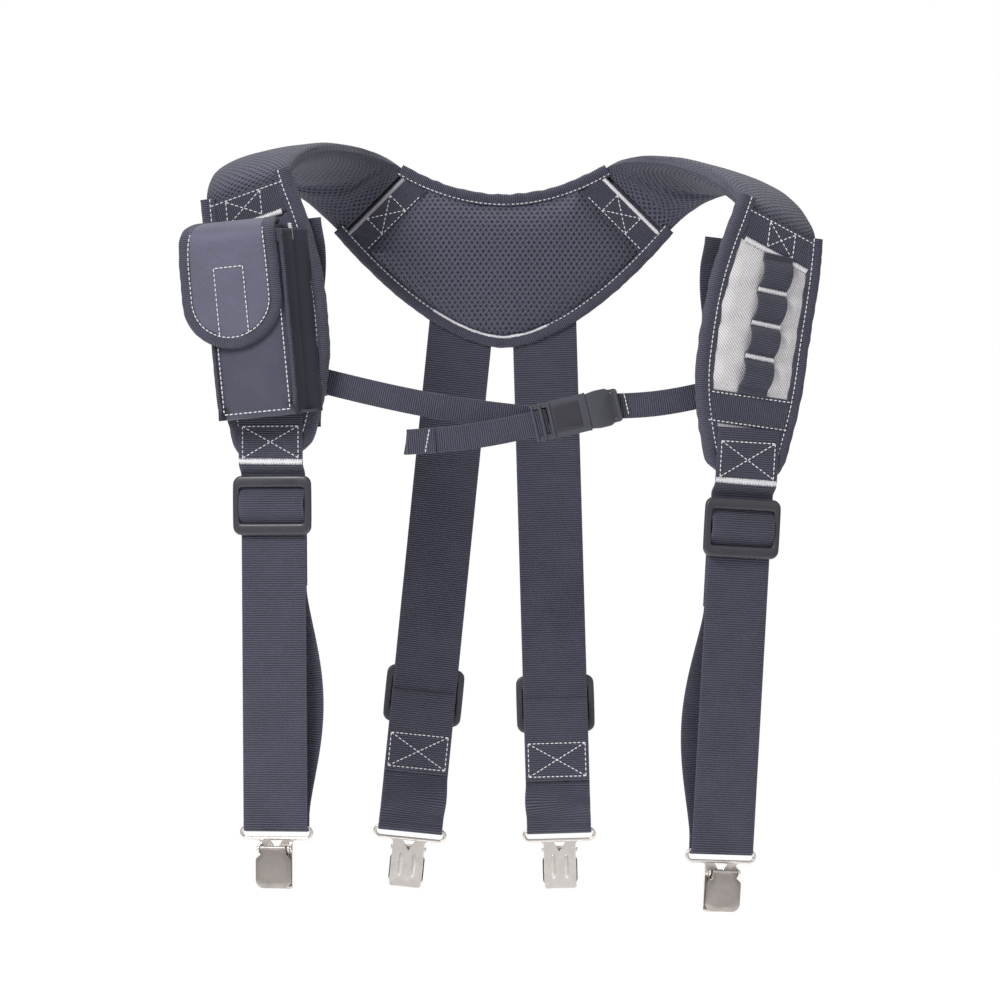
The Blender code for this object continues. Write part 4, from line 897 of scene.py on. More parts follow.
def build_strap(strap):
    frame_ = strap_frame(strap)
    swivel = JOINTS[f"{strap}_clip_swivel"]
    ring = (frame_.inverted() @ Vector(swivel["pos_m"])).z
    low, high = local_box(f"{strap}_slider", frame_)
    centre = (low.z + high.z) / 2
    front = strap in ANCHOR_HEIGHT

    def place(y, z, x=0.0):
        return Vector((x, y, z))

    start = [place(0.0, 0.026)]
    if front:
        start = [place(ANCHOR_Y, ANCHOR_TOP[strap]), place(ANCHOR_Y, -0.0038), place(0.0, -0.0098)]
    upper = webbing_strip(f"{strap}_upper_web", start + [place(0.0, centre)], WEB, frame_)
    frame_ @ place(0, -0.002)
    frame_ @ place(0, -0.016)
    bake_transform(upper)

    turn = [place(RING_Y + b, ring + c) for b, c in arc(0, 0, RING_Y, 180, 360, 12)]
    path = [place(0.0, centre)] + turn + [place(2 * RING_Y - 0.0004, ring + 0.012)]
    lower = webbing_strip(f"{strap}_lower_web", path, WEB, frame_, passes=1)
    frame_ @ place(0, centre)
    frame_ @ place(0, ring + 0.016)
    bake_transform(lower)

    bulge, sway = RETURN_SHAPE[strap]
    inner, outer = 0.0021, 0.0042
    fold = centre - SEWN_END - 0.004
    path = [place(2 * RING_Y + 0.0002, ring + 0.0035), place(2 * RING_Y + 0.0003, ring + 0.010)]
    steps = 24
    for i in range(1, steps):
        t = 1 - i / steps
        swell = math.sin(math.pi * t)
        path.append(place(inner + (2 * RING_Y - inner) * t + bulge * swell,
                          fold + (ring + 0.010 - fold) * t, sway * swell ** 1.5))
    path += [place(inner, fold), place(inner, centre - 0.0126)]
    back = webbing_strip(f"{strap}_return_web", path, WEB, frame_, passes=8)
    frame_ @ place(0, ring + 0.014)
    frame_ @ place(0, fold)
    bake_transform(back)

    # the folded end round the crossbar, sewn down below the slider
    wrap = 0.0033
    path = [place(inner, centre - 0.0126), place(0.0013, centre - 0.0090),
            place(-0.0009, centre - 0.0056)]
    path += [place(-0.0002 + b, centre + c) for b, c in arc(0, 0, wrap, 190, -10, 14)]
    path += [place(0.0038, centre - 0.0055), place(outer, centre - 0.011),
             place(outer, centre - SEWN_END)]
    sewn = webbing_strip(f"{strap}_sewn_end", path, WEB, frame_, width=0.0498, passes=2)
    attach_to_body(sewn, f"{strap}_slider")

    hump = [place(-0.0010, centre + 0.0142), place(-0.0022, centre + 0.0118),
            place(-0.0062, centre + 0.0056), place(-0.0069, centre + 0.0012),
            place(-0.0068, centre - 0.0022), place(-0.0058, centre - 0.0060),
            place(-0.0022, centre - 0.0118), place(-0.0010, centre - 0.0142)]
    over = webbing_strip(f"{strap}_web_over_bar", hump, WEB, frame_, width=0.0506, passes=3)
    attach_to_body(over, f"{strap}_slider")

    slider = slider_piece(f"{strap}_slider_moulding", frame_ @ Matrix.Translation((0, 0, centre)))
    attach(slider, f"{strap}_slider", f"{strap}_slider")

    x, top, bottom = 0.0222, centre - SEWN_END + 0.0295, centre - SEWN_END + 0.0035
    face = outer + WEB_THICK / 2
    marks = Stitches()
    marks.box_cross([(-x, face, top), (x, face, top), (x, face, bottom), (-x, face, bottom)], WEARER_SIDE)
    box = marks.piece(f"{strap}_sewn_end_thread", frame_)
    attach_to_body(box, f"{strap}_slider")

    if front:
        marks = Stitches()
        face = ANCHOR_Y - WEB_THICK / 2
        x, top, bottom = 0.0216, ANCHOR_HEIGHT[strap] - 0.0028, 0.0015
        corners = [(-x, face, top), (x, face, top), (x, face, bottom), (-x, face, bottom)]
        marks.box_cross(corners, OUTWARD, skip=(2,))
        marks.tack((-0.0247, face, -0.0008), (0.0247, face, -0.0016), OUTWARD, 0.0046)
        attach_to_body(marks.piece(f"{strap}_anchor_thread", frame_), "harness")

    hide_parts(f"{strap}_webbing")
    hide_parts(f"{strap}_return_webbing")

    clip = frame_.copy()
    clip.translation = swivel["pos_m"]
    lever = frame_.copy()
    lever.translation = JOINTS[f"{strap}_lever_hinge"]["pos_m"]
    clip_pieces(strap, clip, lever)


for strap in STRAPS:
    build_strap(strap)


# ---------------------------------------------------------------- soft edges and surfaces
def crinkle(obj, amount, scale, seed=0.0):
    """Small uneven swelling of a sewn piece, along its own normals."""
    normals = [vertex.normal.copy() for vertex in obj.data.vertices]
    for vertex, normal in zip(obj.data.vertices, normals):
        vertex.co += normal * amount * noise.noise(vertex.co * scale + Vector((seed, seed, seed)))
    return obj


def flat_place(x, z):
    return Vector((x, 0.0, z))


def inward_of(path, middle):
    """Unit in-plane direction at each point of an open edge line, pointing to the piece's middle."""
    result = []
    last = len(path) - 1
    for i, (x, z) in enumerate(path):
        a, b = Vector(path[max(0, i - 1)]), Vector(path[min(last, i + 1)])
        along = (b - a).normalized()
        side = Vector((-along.y, along.x))
        if side.dot(Vector(middle) - Vector((x, z))) < 0:
            side = -side
        result.append(side)
    return result


def even(path, step):
    """Even points along a flat path."""
    return [(p.x, p.z) for p in resample([Vector((x, 0, z)) for x, z in path], step)]


def shifted(path, middle, distance):
    """Flat line that runs beside an edge line, a distance inwards."""
    return [(x + n.x * distance, z + n.y * distance)
            for (x, z), n in zip(path, inward_of(path, middle))]


def tape_section(front, back, width, seam):
    """Binding folded round an edge: (distance from the edge, depth) points of its section."""
    t = 0.0007
    outer = [(width, front), (width - 0.0010, front - 0.0002), (seam, front + 0.00035),
             (seam - 0.0016, front - 0.0003), (seam * 0.45, front - 0.0008),
             (0.0012, front - 0.0003), (-0.0003, front + 0.0014), (-0.0003, back - 0.0014),
             (0.0012, back + 0.0003), (seam * 0.45, back + 0.0006), (seam, back - 0.0003),
             (width - 0.0010, back + 0.0001), (width, back)]
    inner = [(width, back - t), (seam, back - t - 0.0003), (0.0026, back - t),
             (0.0012, back - 0.0024), (0.0012, front + 0.0024), (0.0026, front + t),
             (seam, front + t + 0.0003), (width, front + t)]
    return outer + inner


def edge_tape(name, path, middle, front, back, matrix, place=flat_place, width=TAPE_WIDTH,
              seam=TAPE_SEAM, pucker=0.0005, seed=0.0):
    """Binding tape folded over an edge line; `front` and `back` are its two faces."""
    frames = []
    step = 0.0005
    for (x, z), side in zip(path, inward_of(path, middle)):
        here = place(x, z)
        inward = (place(x + side.x * step, z + side.y * step) - here).normalized()
        across = (place(x - side.y * step, z + side.x * step) - here).normalized()
        normal = inward.cross(across)
        if normal.y < 0:
            normal = -normal
        frames.append((here, inward, normal.normalized()))
    tape = sweep(name, frames, tape_section(front, back, width, seam), TAPE, matrix)
    return crinkle(tape, pucker, 150, seed)


def seam_line(marks, path, middle, distance, face, place=flat_place, normal=OUTWARD, **spacing):
    """Running stitch beside an edge line."""
    line = [place(x, z) + Vector((0, face, 0)) for x, z in shifted(path, middle, distance)]
    marks.line(line, normal, **spacing)


# ---------------------------------------------------------------- back yoke
YOKE_TAPE, YOKE_SEAM = 0.0094, 0.0078
YOKE_FRONT = -YOKE_FLANGE - 0.0012
END_BAND, END_BAND_IN = 0.0225, 0.0020        # webbing across each wing end, and its outer edge
CUSHION_FOOT = 0.0250                        # where the mesh starts to rise, from the wing end


def yoke_bottom(x):
    return YOKE_BOTTOM_Z + (YOKE_TIP_Z - YOKE_BOTTOM_Z) * (abs(x) / YOKE_TIP_X) ** YOKE_CURVE


def yoke_neck(x):
    return YOKE_NECK_Z + (YOKE_TOP_Z - YOKE_NECK_Z) * (x / YOKE_TOP_X) ** 2


def yoke_top(x):
    return YOKE_TOP_Z - (abs(x) - YOKE_TOP_X) if abs(x) > YOKE_TOP_X else yoke_neck(x)


def dome(x, z):
    """Rise of the mesh cushion over its sewn flange."""
    steep = (YOKE_TIP_Z - YOKE_BOTTOM_Z) * YOKE_CURVE / YOKE_TIP_X
    slant = math.hypot(1, steep * (abs(x) / YOKE_TIP_X) ** (YOKE_CURVE - 1))
    rise = (z - yoke_bottom(x)) / slant - YOKE_TAPE
    fall = yoke_neck(x) - z - YOKE_TAPE
    end = (YOKE_TOP_X + YOKE_TOP_Z - abs(x) - z) / math.sqrt(2) - CUSHION_FOOT
    reach = max(0.0, min(rise, fall, end))
    return (YOKE_DOME + 0.001) * (1 - math.exp(-reach / 0.010))


def wing_point(side, out, along):
    """Point on a wing: distance in from the end edge, and along it from the upper corner."""
    d = math.sqrt(0.5)
    return (side * (YOKE_TOP_X - out * d + along * d), YOKE_TOP_Z - out * d - along * d)


def build_yoke():
    bottom = [(x, yoke_bottom(x)) for x in np.linspace(-YOKE_TIP_X - 0.0030, YOKE_TIP_X + 0.0030, 150)]
    top = [(x, yoke_neck(x)) for x in np.linspace(-YOKE_TOP_X - 0.0035, YOKE_TOP_X + 0.0035, 90)]
    bottom, top = even(bottom, 0.0016), even(top, 0.0016)

    half = YOKE_TIP_X - 0.0006

    def sheet(y):
        def surface(u, v):
            x = half * math.sin(math.pi / 2 * (2 * u - 1))
            return (x, y, yoke_bottom(x) + (yoke_top(x) - yoke_bottom(x)) * v)
        return surface

    def flat_uv(surface):
        return lambda u, v: (surface(u, v)[0], surface(u, v)[2])

    skin = closed_pad("yoke_outer_skin", 70, 26, sheet(-0.0026), sheet(-0.0001), CLOTH,
                      flat_uv(sheet(0.0)))
    crinkle(skin, 0.00035, 45, 3.0)
    attach(skin, "harness", "yoke_backing")

    span = 0.112
    margin = 0.0045

    def place(u, v):
        x = span * (2 * u - 1)
        slant = 1.0 + 0.35 * min(1.0, abs(x) / YOKE_TIP_X)
        low = yoke_bottom(x) + margin * slant
        high = yoke_top(x) - margin * (1.414 if abs(x) > YOKE_TOP_X - 0.004 else 1.0)
        return x, low + (max(high, low + 0.002) - low) * v

    def front(u, v):
        x, z = place(u, v)
        return (x, -YOKE_FLANGE - dome(x, z), z)

    def back(u, v):
        x, z = place(u, v)
        return (x, -0.0029, z)

    cushion = closed_pad("yoke_mesh_cushion", 96, 44, front, back, MESH,
                         place)
    layer = cushion["layer"]
    still = [i for i in range(layer) if front((i // 45) / 96, (i % 45) / 44)[1] > -YOKE_FLANGE - 0.0004]
    puff(cushion, still + list(range(layer, 2 * layer)), cap=0.0025)
    crinkle(cushion, 0.0005, 40, 5.0)
    attach(cushion, "harness", "yoke_cushion")

    low = edge_tape("yoke_lower_binding", bottom, (0, 0.04), YOKE_FRONT, 0.0004, None, width=YOKE_TAPE,
                    seam=YOKE_SEAM, seed=1.0)
    high = edge_tape("yoke_upper_binding", top, (0, -0.05), YOKE_FRONT, 0.0004, None, width=YOKE_TAPE,
                     seam=YOKE_SEAM, pucker=0.0012, seed=2.0)
    for tape in (low, high):
        attach(tape, "harness")
    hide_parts("yoke_binding")

    # grey collects the stitches drawn in the grey copy of the thread, which is painted shade
    marks, grey = Stitches(), Stitches()
    for path, middle in ((bottom, (0, 0.04)), (top, (0, -0.05))):
        seam_line(marks, path, middle, YOKE_SEAM, YOKE_FRONT + 0.0002)
        seam_line(marks, path, middle, YOKE_SEAM, 0.0003, normal=WEARER_SIDE)
    thick = [p for p in shifted(bottom, (0, 0.04), YOKE_SEAM) if -0.056 < p[0] < 0.035]
    for (x0, z0), (x1, z1) in zip(thick[::4], thick[4::4]):
        wander = 0.0007 * noise.noise(Vector((x0 * 90, 0, 3)))
        marks.tack((x0, YOKE_FRONT + 0.0002, z0 + wander), (x1, YOKE_FRONT + 0.0002, z1 + wander),
                   OUTWARD, 0.0024, 0.0006)

    band_y = -YOKE_FLANGE - 0.0002
    face = band_y - WEB_THICK / 2
    for side, name in ((-1, "left"), (1, "right")):
        centre = END_BAND_IN + END_BAND / 2
        path = [(x, band_y, z) for x, z in (wing_point(side, centre, t) for t in (0.004, 0.0745))]
        across = Vector((-side, 0, -1)).normalized()
        band = webbing_strip(f"yoke_{name}_end_band", path, END_WEB, None, END_BAND, WEB_THICK,
                             tuple(across), 0.0014, FINE_DEPTH)
        attach(band, "harness", f"yoke_{name}_end_web")

        def wing(out, along):
            x, z = wing_point(side, out, along)
            return (x, face, z)

        marks.line([wing(0.0228, 0.010), wing(0.0228, 0.0665)], OUTWARD)
        marks.box_cross([wing(0.0058, 0.0250), wing(0.0222, 0.0250), wing(0.0222, 0.0505),
                         wing(0.0058, 0.0505)], OUTWARD, skip=(1, 3))
        # painted shade: the left wing's bar tack is drawn in the grey copy of the white thread
        (grey if side < 0 else marks).tack(wing(0.0044, 0.0085), wing(0.0044, 0.0680), OUTWARD,
                                           0.0032, 0.0005)
    for stitches, name, material in ((marks, "yoke_thread", THREAD_WHITE),
                                     (grey, "yoke_tack_painted_shade", THREAD_SHADED)):
        sewn = stitches.piece(name, material=material)
        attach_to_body(sewn, "harness")


build_yoke()


# ---------------------------------------------------------------- front panels, shared shape
class Panel:
    """Outline and frame of one front panel; `inner` is +1 where +x points to the other panel."""

    def __init__(self, side, inner, yaw, foot, top, slope, offset):
        self.side, self.inner = side, inner
        self.length = (Vector(top) - Vector(foot)).length
        self.slope, self.offset = slope * inner, offset * inner
        self.matrix = panel_frame(foot, top, yaw)

    def half_width(self, z):
        swell = math.sin(math.pi / 2 * min(z / (0.45 * self.length), 1.0))
        taper = max(0.0, (z / self.length - 0.62) / 0.38)
        return 0.027 + (PANEL_HALF - 0.027) * swell - 0.007 * taper**2

    def centre(self, z):
        return self.offset * math.sin(math.pi * max(0.0, min(z / self.length, 1.0)))

    def top(self, x):
        return self.length + self.slope * x

    def point(self, s, t):
        """Point of the outline's inside: s runs across (-1 to 1), t from the foot to the top edge."""
        x_top = self.centre(self.length) + s * self.half_width(self.length)
        lift = 0.010 * abs(s) ** 3
        z = lift + t * (self.top(x_top) - lift)
        return (self.centre(z) + s * self.half_width(max(z, 0.0)), z)

    def below_top(self, s, drop):
        x_top = self.centre(self.length) + s * self.half_width(self.length)
        z = self.top(x_top) - drop
        return (self.centre(z) + s * self.half_width(z), z)

    def at_height(self, s, z):
        return (self.centre(z) + s * self.half_width(z), z)


LEFT = Panel("left", 1, math.radians(14), (-0.1728, PANEL_DEPTH, -0.160), (-0.192, PANEL_DEPTH, 0.043),
             0.24, 0.009)
RIGHT = Panel("right", -1, math.radians(-20), (0.1788, PANEL_DEPTH, -0.175), (0.205, PANEL_DEPTH, 0.019),
              0.34, 0.006)


# ---------------------------------------------------------------- shoulder pads
PAD_CENTRE, PAD_EDGE = 0.015, 0.006
PAD_ROWS, PAD_COLUMNS = 110, 26


def bezier(p0, p1, p2, p3, t):
    s = 1 - t
    return p0 * s**3 + p1 * (3 * s * s * t) + p2 * (3 * s * t * t) + p3 * t**3


# pull of each pad's outer edge off the yoke and onto the panel, then of its neck edge onto the panel
SHOULDER_PULL = {"left": (0.086, 0.052, 0.034), "right": (0.096, 0.030, 0.024)}


def build_shoulder_pad(panel):
    sign = -panel.inner
    arm_reach, arm_drop, neck_drop = SHOULDER_PULL[panel.side]
    outward = Vector((sign * 0.7071, 0, 0.7071))
    top_corner = Vector((sign * YOKE_TOP_X, -YOKE_FLANGE / 2, YOKE_TOP_Z))
    tip_corner = Vector((sign * YOKE_TIP_X, -YOKE_FLANGE / 2, YOKE_TIP_Z))
    inset_ = 0.0035
    run = (tip_corner - top_corner).normalized()
    up, inward = panel.matrix.col[2].xyz, panel.matrix.col[1].xyz

    def panel_corner(which):
        x = panel.centre(panel.length) + which * (panel.half_width(panel.length) - inset_)
        return panel.matrix @ Vector((x, 0.0006, panel.top(x) - 0.007))

    neck = (top_corner + run * inset_, 0.035, panel_corner(panel.inner), neck_drop)
    arm = (tip_corner - run * inset_, arm_reach, panel_corner(-panel.inner), arm_drop)

    def edge(data, t):
        start, reach, end, drop = data
        return bezier(start, start + outward * reach, end + up * drop, end, t)

    def middle(u, v):
        return edge(arm, u).lerp(edge(neck, u), v)

    def surface(side):
        def offset(u, v):
            v = 0.5 - 0.5 * math.cos(math.pi * v)
            along = middle(min(1.0, u + 0.01), v) - middle(max(0.0, u - 0.01), v)
            across = middle(u, 1.0) - middle(u, 0.0)
            normal = along.cross(across).normalized()
            for share, fixed in ((max(0.0, 1 - u / 0.15), Vector((0, 1, 0))),
                                 (max(0.0, 1 - (1 - u) / 0.15), inward)):
                fixed = -fixed if normal.dot(fixed) < 0 else fixed
                normal = normal.lerp(fixed, share).normalized()
            full = math.sin(math.pi / 2 * min(1.0, u / 0.12, (1.0 - u) / 0.12))
            crown = math.sqrt(max(0.0, 1 - (2 * v - 1) ** 2))
            thick = PAD_EDGE * (0.45 + 0.55 * crown)
            thick += (PAD_CENTRE - PAD_EDGE) * crown * (0.25 + 0.75 * full)
            thick *= 1 - 0.35 * max(0.0, (u - 0.93) / 0.07)
            return middle(u, v) + normal * side * thick / 2
        return offset

    def uv(u, v):
        return (v * 0.078, u * 0.290)

    pad = closed_pad(f"{panel.side}_shoulder_sleeve", PAD_ROWS, PAD_COLUMNS, surface(1), surface(-1),
                     MESH, uv)
    wide, layer = PAD_COLUMNS + 1, pad["layer"]
    sewn_rows = (0, 1, 2, PAD_ROWS - 2, PAD_ROWS - 1, PAD_ROWS)
    ends = [i for i in range(2 * layer) if (i % layer) // wide in sewn_rows]
    puff(pad, ends, cap=0.0020)
    crinkle(pad, 0.0007, 38, panel.inner * 4.0)
    attach(pad, "harness", f"{panel.side}_shoulder_pad")


for panel in (LEFT, RIGHT):
    build_shoulder_pad(panel)


# ---------------------------------------------------------------- front panels
PANEL_FACE = PANEL_THICK / 2 + 0.0012        # outer faces of the binding, each side of the middle
TOP_BAND = 0.0245                            # height of the webbing across a panel's top
TOP_BOX = {"left": (-0.0165, 0.0107), "right": (-0.0075, 0.0138)}
STEPS = 44
COVERED = 0.80                               # share of the half width where bands go under the tape


def panel_edge(panel):
    """Edge line of a panel: down one side, round the foot and up the other."""
    side = [panel.point(1, 1.02 - 1.02 * i / STEPS) for i in range(STEPS + 1)]
    foot = [panel.point(1 - 2 * i / 24, 0) for i in range(1, 24)]
    other = [panel.point(-1, 1.02 * i / STEPS) for i in range(STEPS + 1)]
    line = [Vector((x, 0, z)) for x, z in side + foot + other]
    return even([(p.x, p.z) for p in softened(resample(line, 0.0016), 14)], 0.0016)


def build_panel(panel):
    name, matrix = panel.side, panel.matrix
    edge, middle = panel_edge(panel), (0.0, panel.length * 0.55)
    rows, columns = 60, 26
    foam = 0.0016

    def surface(side):
        def place(u, v):
            s = math.sin(math.pi / 2 * (2 * v - 1)) * 0.93
            x, z = panel.point(s, 0.03 + 0.955 * u)
            swell = foam * (1 - s * s) * math.sin(math.pi * u) ** 0.5
            return (x, side * (PANEL_THICK / 2 - 0.0004 + (swell if side > 0 else 0.0)), z)
        return place

    pad = closed_pad(f"{name}_panel_body", rows, columns, surface(-1), surface(1), CLOTH,
                     lambda u, v: (surface(1)(u, v)[0], surface(1)(u, v)[2]), matrix)
    layer = pad["layer"]
    front = list(range(layer))
    puff(pad, front + [layer + i for i in pad["rim"]], cap=0.0022)
    crinkle(pad, 0.0004, 50, panel.inner * 7.0)
    attach(pad, "harness", f"{name}_panel_pad")

    tape = edge_tape(f"{name}_panel_tape", edge, middle, -PANEL_FACE, PANEL_FACE, matrix,
                     pucker=0.0007, seed=panel.inner * 2.0)
    attach(tape, "harness", f"{name}_panel_binding")

    band_y = -PANEL_THICK / 2 - 0.0002
    face = band_y - WEB_THICK / 2
    ends = []
    for s in (-COVERED, COVERED):
        x, z = panel.below_top(s, 0.0020 + TOP_BAND / 2)
        ends.append(Vector((x, band_y, z)))
    along = (ends[1] - ends[0]).normalized()
    across = (-along.z, 0, along.x)
    band = webbing_strip(f"{name}_top_band", ends, TOP_WEB, matrix, TOP_BAND, WEB_THICK, across,
                         FINE_RIB, FINE_DEPTH)
    attach(band, "harness", f"{name}_panel_top_web")

    marks = Stitches()
    seam_line(marks, edge, middle, TAPE_SEAM, -PANEL_FACE)
    seam_line(marks, edge, middle, TAPE_SEAM, PANEL_FACE, normal=WEARER_SIDE)

    def on_band(x, drop):
        start = ends[0] + Vector(across) * (TOP_BAND / 2 - drop)
        share = (x - start.x) / along.x
        return Vector((x, face, start.z + along.z * share))

    left_x = panel.centre(panel.length) - panel.half_width(panel.length) + TAPE_SEAM
    right_x = panel.centre(panel.length) + panel.half_width(panel.length) - TAPE_SEAM
    marks.line([on_band(left_x, 0.0022), on_band(right_x, 0.0022)], OUTWARD)
    low, high = TOP_BOX[name]
    foot = TOP_BAND - 0.0042
    marks.line([on_band(low, 0.0030), on_band(low, foot)], OUTWARD)
    marks.line([on_band(high, 0.0030), on_band(high, foot)], OUTWARD)
    marks.line([on_band(low, 0.0030), on_band(high, foot)], OUTWARD)
    marks.line([on_band(high, 0.0030), on_band(low, foot)], OUTWARD)
    lift = Vector((0, 0.0006, 0))
    marks.tack(on_band(left_x + 0.0020, TOP_BAND - 0.0012) - lift,
               on_band(right_x - 0.0020, TOP_BAND - 0.0012) - lift, OUTWARD, 0.0042)
    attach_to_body(marks.piece(f"{name}_panel_thread", matrix), "harness")


for panel in (LEFT, RIGHT):
    build_panel(panel)


# ---------------------------------------------------------------- tool loops on the right panel
LOOP_LOW, LOOP_HIGH = 0.064, 0.170
LOOP_COUNT, LOOP_BULGE, LOOP_TACK, LOOP_WIDTH = 4, 0.0068, 0.0052, 0.0240
LOOP_SHIFT, LOOP_LEAN = 0.0015, 0.061        # the strip stands a little off the panel's middle line
NYLON_LOW = 0.026
BAND_LOW = 0.0395


def build_tool_panel(panel):
    matrix, face = panel.matrix, -PANEL_THICK / 2
    pitch = (LOOP_HIGH - LOOP_LOW - LOOP_TACK) / LOOP_COUNT
    feet = [LOOP_LOW + LOOP_TACK / 2 + pitch * i for i in range(LOOP_COUNT + 1)]
    rows, columns = 96, 36

    def strip_x(z):
        return panel.centre(0.11) + LOOP_SHIFT + LOOP_LEAN * (z - LOOP_LOW)

    def smooth(value):
        value = min(1.0, max(0.0, value))
        return value * value * (3 - 2 * value)

    def spot(u, v):
        s = (2 * v - 1) * COVERED
        top = panel.below_top(s, TOP_BAND - 0.003)[1]
        return panel.at_height(s, NYLON_LOW + (top - NYLON_LOW) * u)

    def front(u, v):
        x, z = spot(u, v)
        near = min(abs(z - foot) for foot in feet)
        ripple = 0.0028 * (1 - math.exp(-((near / 0.007) ** 2)))
        edge = smooth((1 - abs(2 * v - 1)) / 0.30)
        top = panel.below_top((2 * v - 1) * COVERED, TOP_BAND)[1]
        open_ = smooth((z - LOOP_LOW - 0.001) / 0.006) * smooth((top - z - 0.0015) / 0.007)
        middle = math.exp(-(((x - strip_x(z)) / 0.010) ** 2))
        rise = ripple * (1 - 0.7 * middle) + 0.0009 * noise.noise(Vector((x * 55, z * 75, 2.0)))
        return (x, face - 0.0004 - (0.0007 + rise) * edge * open_, z)

    def back(u, v):
        x, z = spot(u, v)
        return (x, face + 0.0002, z)

    cover = closed_pad("right_nylon_cover", rows, columns, front, back, NYLON, spot, matrix)
    layer, wide = cover["layer"], columns + 1
    pinned = list(range(layer, 2 * layer)) + list(cover["rim"])
    for i in range(rows + 1):
        for j in range(wide):
            x, z = spot(i / rows, j / columns)
            near_tack = min(abs(z - foot) for foot in feet) < 0.003
            if z < LOOP_LOW or (abs(x - strip_x(z)) < LOOP_WIDTH / 2 and near_tack):
                pinned.append(i * wide + j)
    puff(cover, pinned, cap=0.0022)
    attach(cover, "harness", "right_panel_nylon_face")

    base = face - 0.0024
    path = [(base, LOOP_LOW - 0.001)]
    for i in range(LOOP_COUNT):
        foot = LOOP_LOW + LOOP_TACK + pitch * i
        for j in range(13):
            t = j / 12
            height = math.sin(math.pi * t) ** 0.75 if 0 < j < 12 else 0.0
            path.append((base - LOOP_BULGE * height, foot + (pitch - LOOP_TACK) * t))
    path.append((base, path[-1][1] + LOOP_TACK))
    path = [Vector((strip_x(z), y, z)) for y, z in path]
    loops = webbing_strip("tool_loop_strip", path, LOOP_WEB, matrix, LOOP_WIDTH, WEB_THICK,
                          rib=FINE_RIB, depth=FINE_DEPTH, passes=3)
    crinkle(loops, 0.0003, 120, 8.0)
    attach(loops, "harness", "tool_loop_web")

    z = (BAND_LOW + LOOP_LOW) / 2
    ends = [Vector((panel.at_height(s, z)[0], face - 0.0008, z)) for s in (-COVERED, COVERED)]
    height = LOOP_LOW - BAND_LOW
    band = webbing_strip("right_lower_band_web", ends, TOP_WEB, matrix, height, WEB_THICK, (0, 0, 1),
                         FINE_RIB, FINE_DEPTH)
    attach(band, "harness", "right_panel_lower_band")

    marks = Stitches()
    for z in (BAND_LOW + 0.0016, LOOP_LOW - 0.0018):
        marks.line([(ends[0].x, face - 0.0016, z), (ends[1].x, face - 0.0016, z)], OUTWARD)
    for i, foot in enumerate(feet):
        reach, x = LOOP_WIDTH / 2 - 0.0004, strip_x(foot)
        if 0 < i < LOOP_COUNT:
            drop = LOOP_LEAN * reach
            marks.tack((x - reach, base - 0.0009, foot + drop), (x + reach, base - 0.0009, foot - drop),
                       OUTWARD, 0.0040)
    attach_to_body(marks.piece("tool_panel_thread", matrix), "harness")


build_tool_panel(RIGHT)


# ---------------------------------------------------------------- phone pouch and its flap
FLAP_X, FLAP_HINGE_UP, FLAP_THICK = -0.009, 0.008, 0.0026
BACK_Y = -PANEL_THICK / 2 - WEB_THICK - 0.0006
FRONT_Y = BACK_Y - POUCH_DEPTH
HOOK_HALF, HOOK_LOW, HOOK_HIGH = 0.013, 0.088, 0.150
CLOTH_WALL, HEM_HEIGHT = 0.0022, 0.011


def pouch_point(u, v, w):
    """u across, v up and w from the panel (0) to the front face (1)."""
    flare = POUCH_FLARE_INNER if u > 0.5 else POUCH_FLARE_OUTER
    x = POUCH_X + (2 * u - 1) * (POUCH_HALF + flare * (1 - w))
    z = POUCH_BOTTOM + (POUCH_TOP - POUCH_BOTTOM) * v - 0.001 * w * (1 - v)
    return Vector((x, BACK_Y + (FRONT_Y - BACK_Y) * w, z))


def touch_patch(name, corner, thick, matrix):
    """Patch of the touch fastener. `corner` holds its middle in x, its front in y and a shift in z."""
    tall, low = HOOK_HIGH - HOOK_LOW, HOOK_LOW + corner.z

    def sheet(y):
        return lambda u, v: Vector((corner.x + (2 * v - 1) * HOOK_HALF, y, low + tall * u))

    return closed_pad(name, 40, 20, sheet(corner.y), sheet(corner.y + thick), HOOK,
                      lambda u, v: (v * 2 * HOOK_HALF, u * tall), matrix)


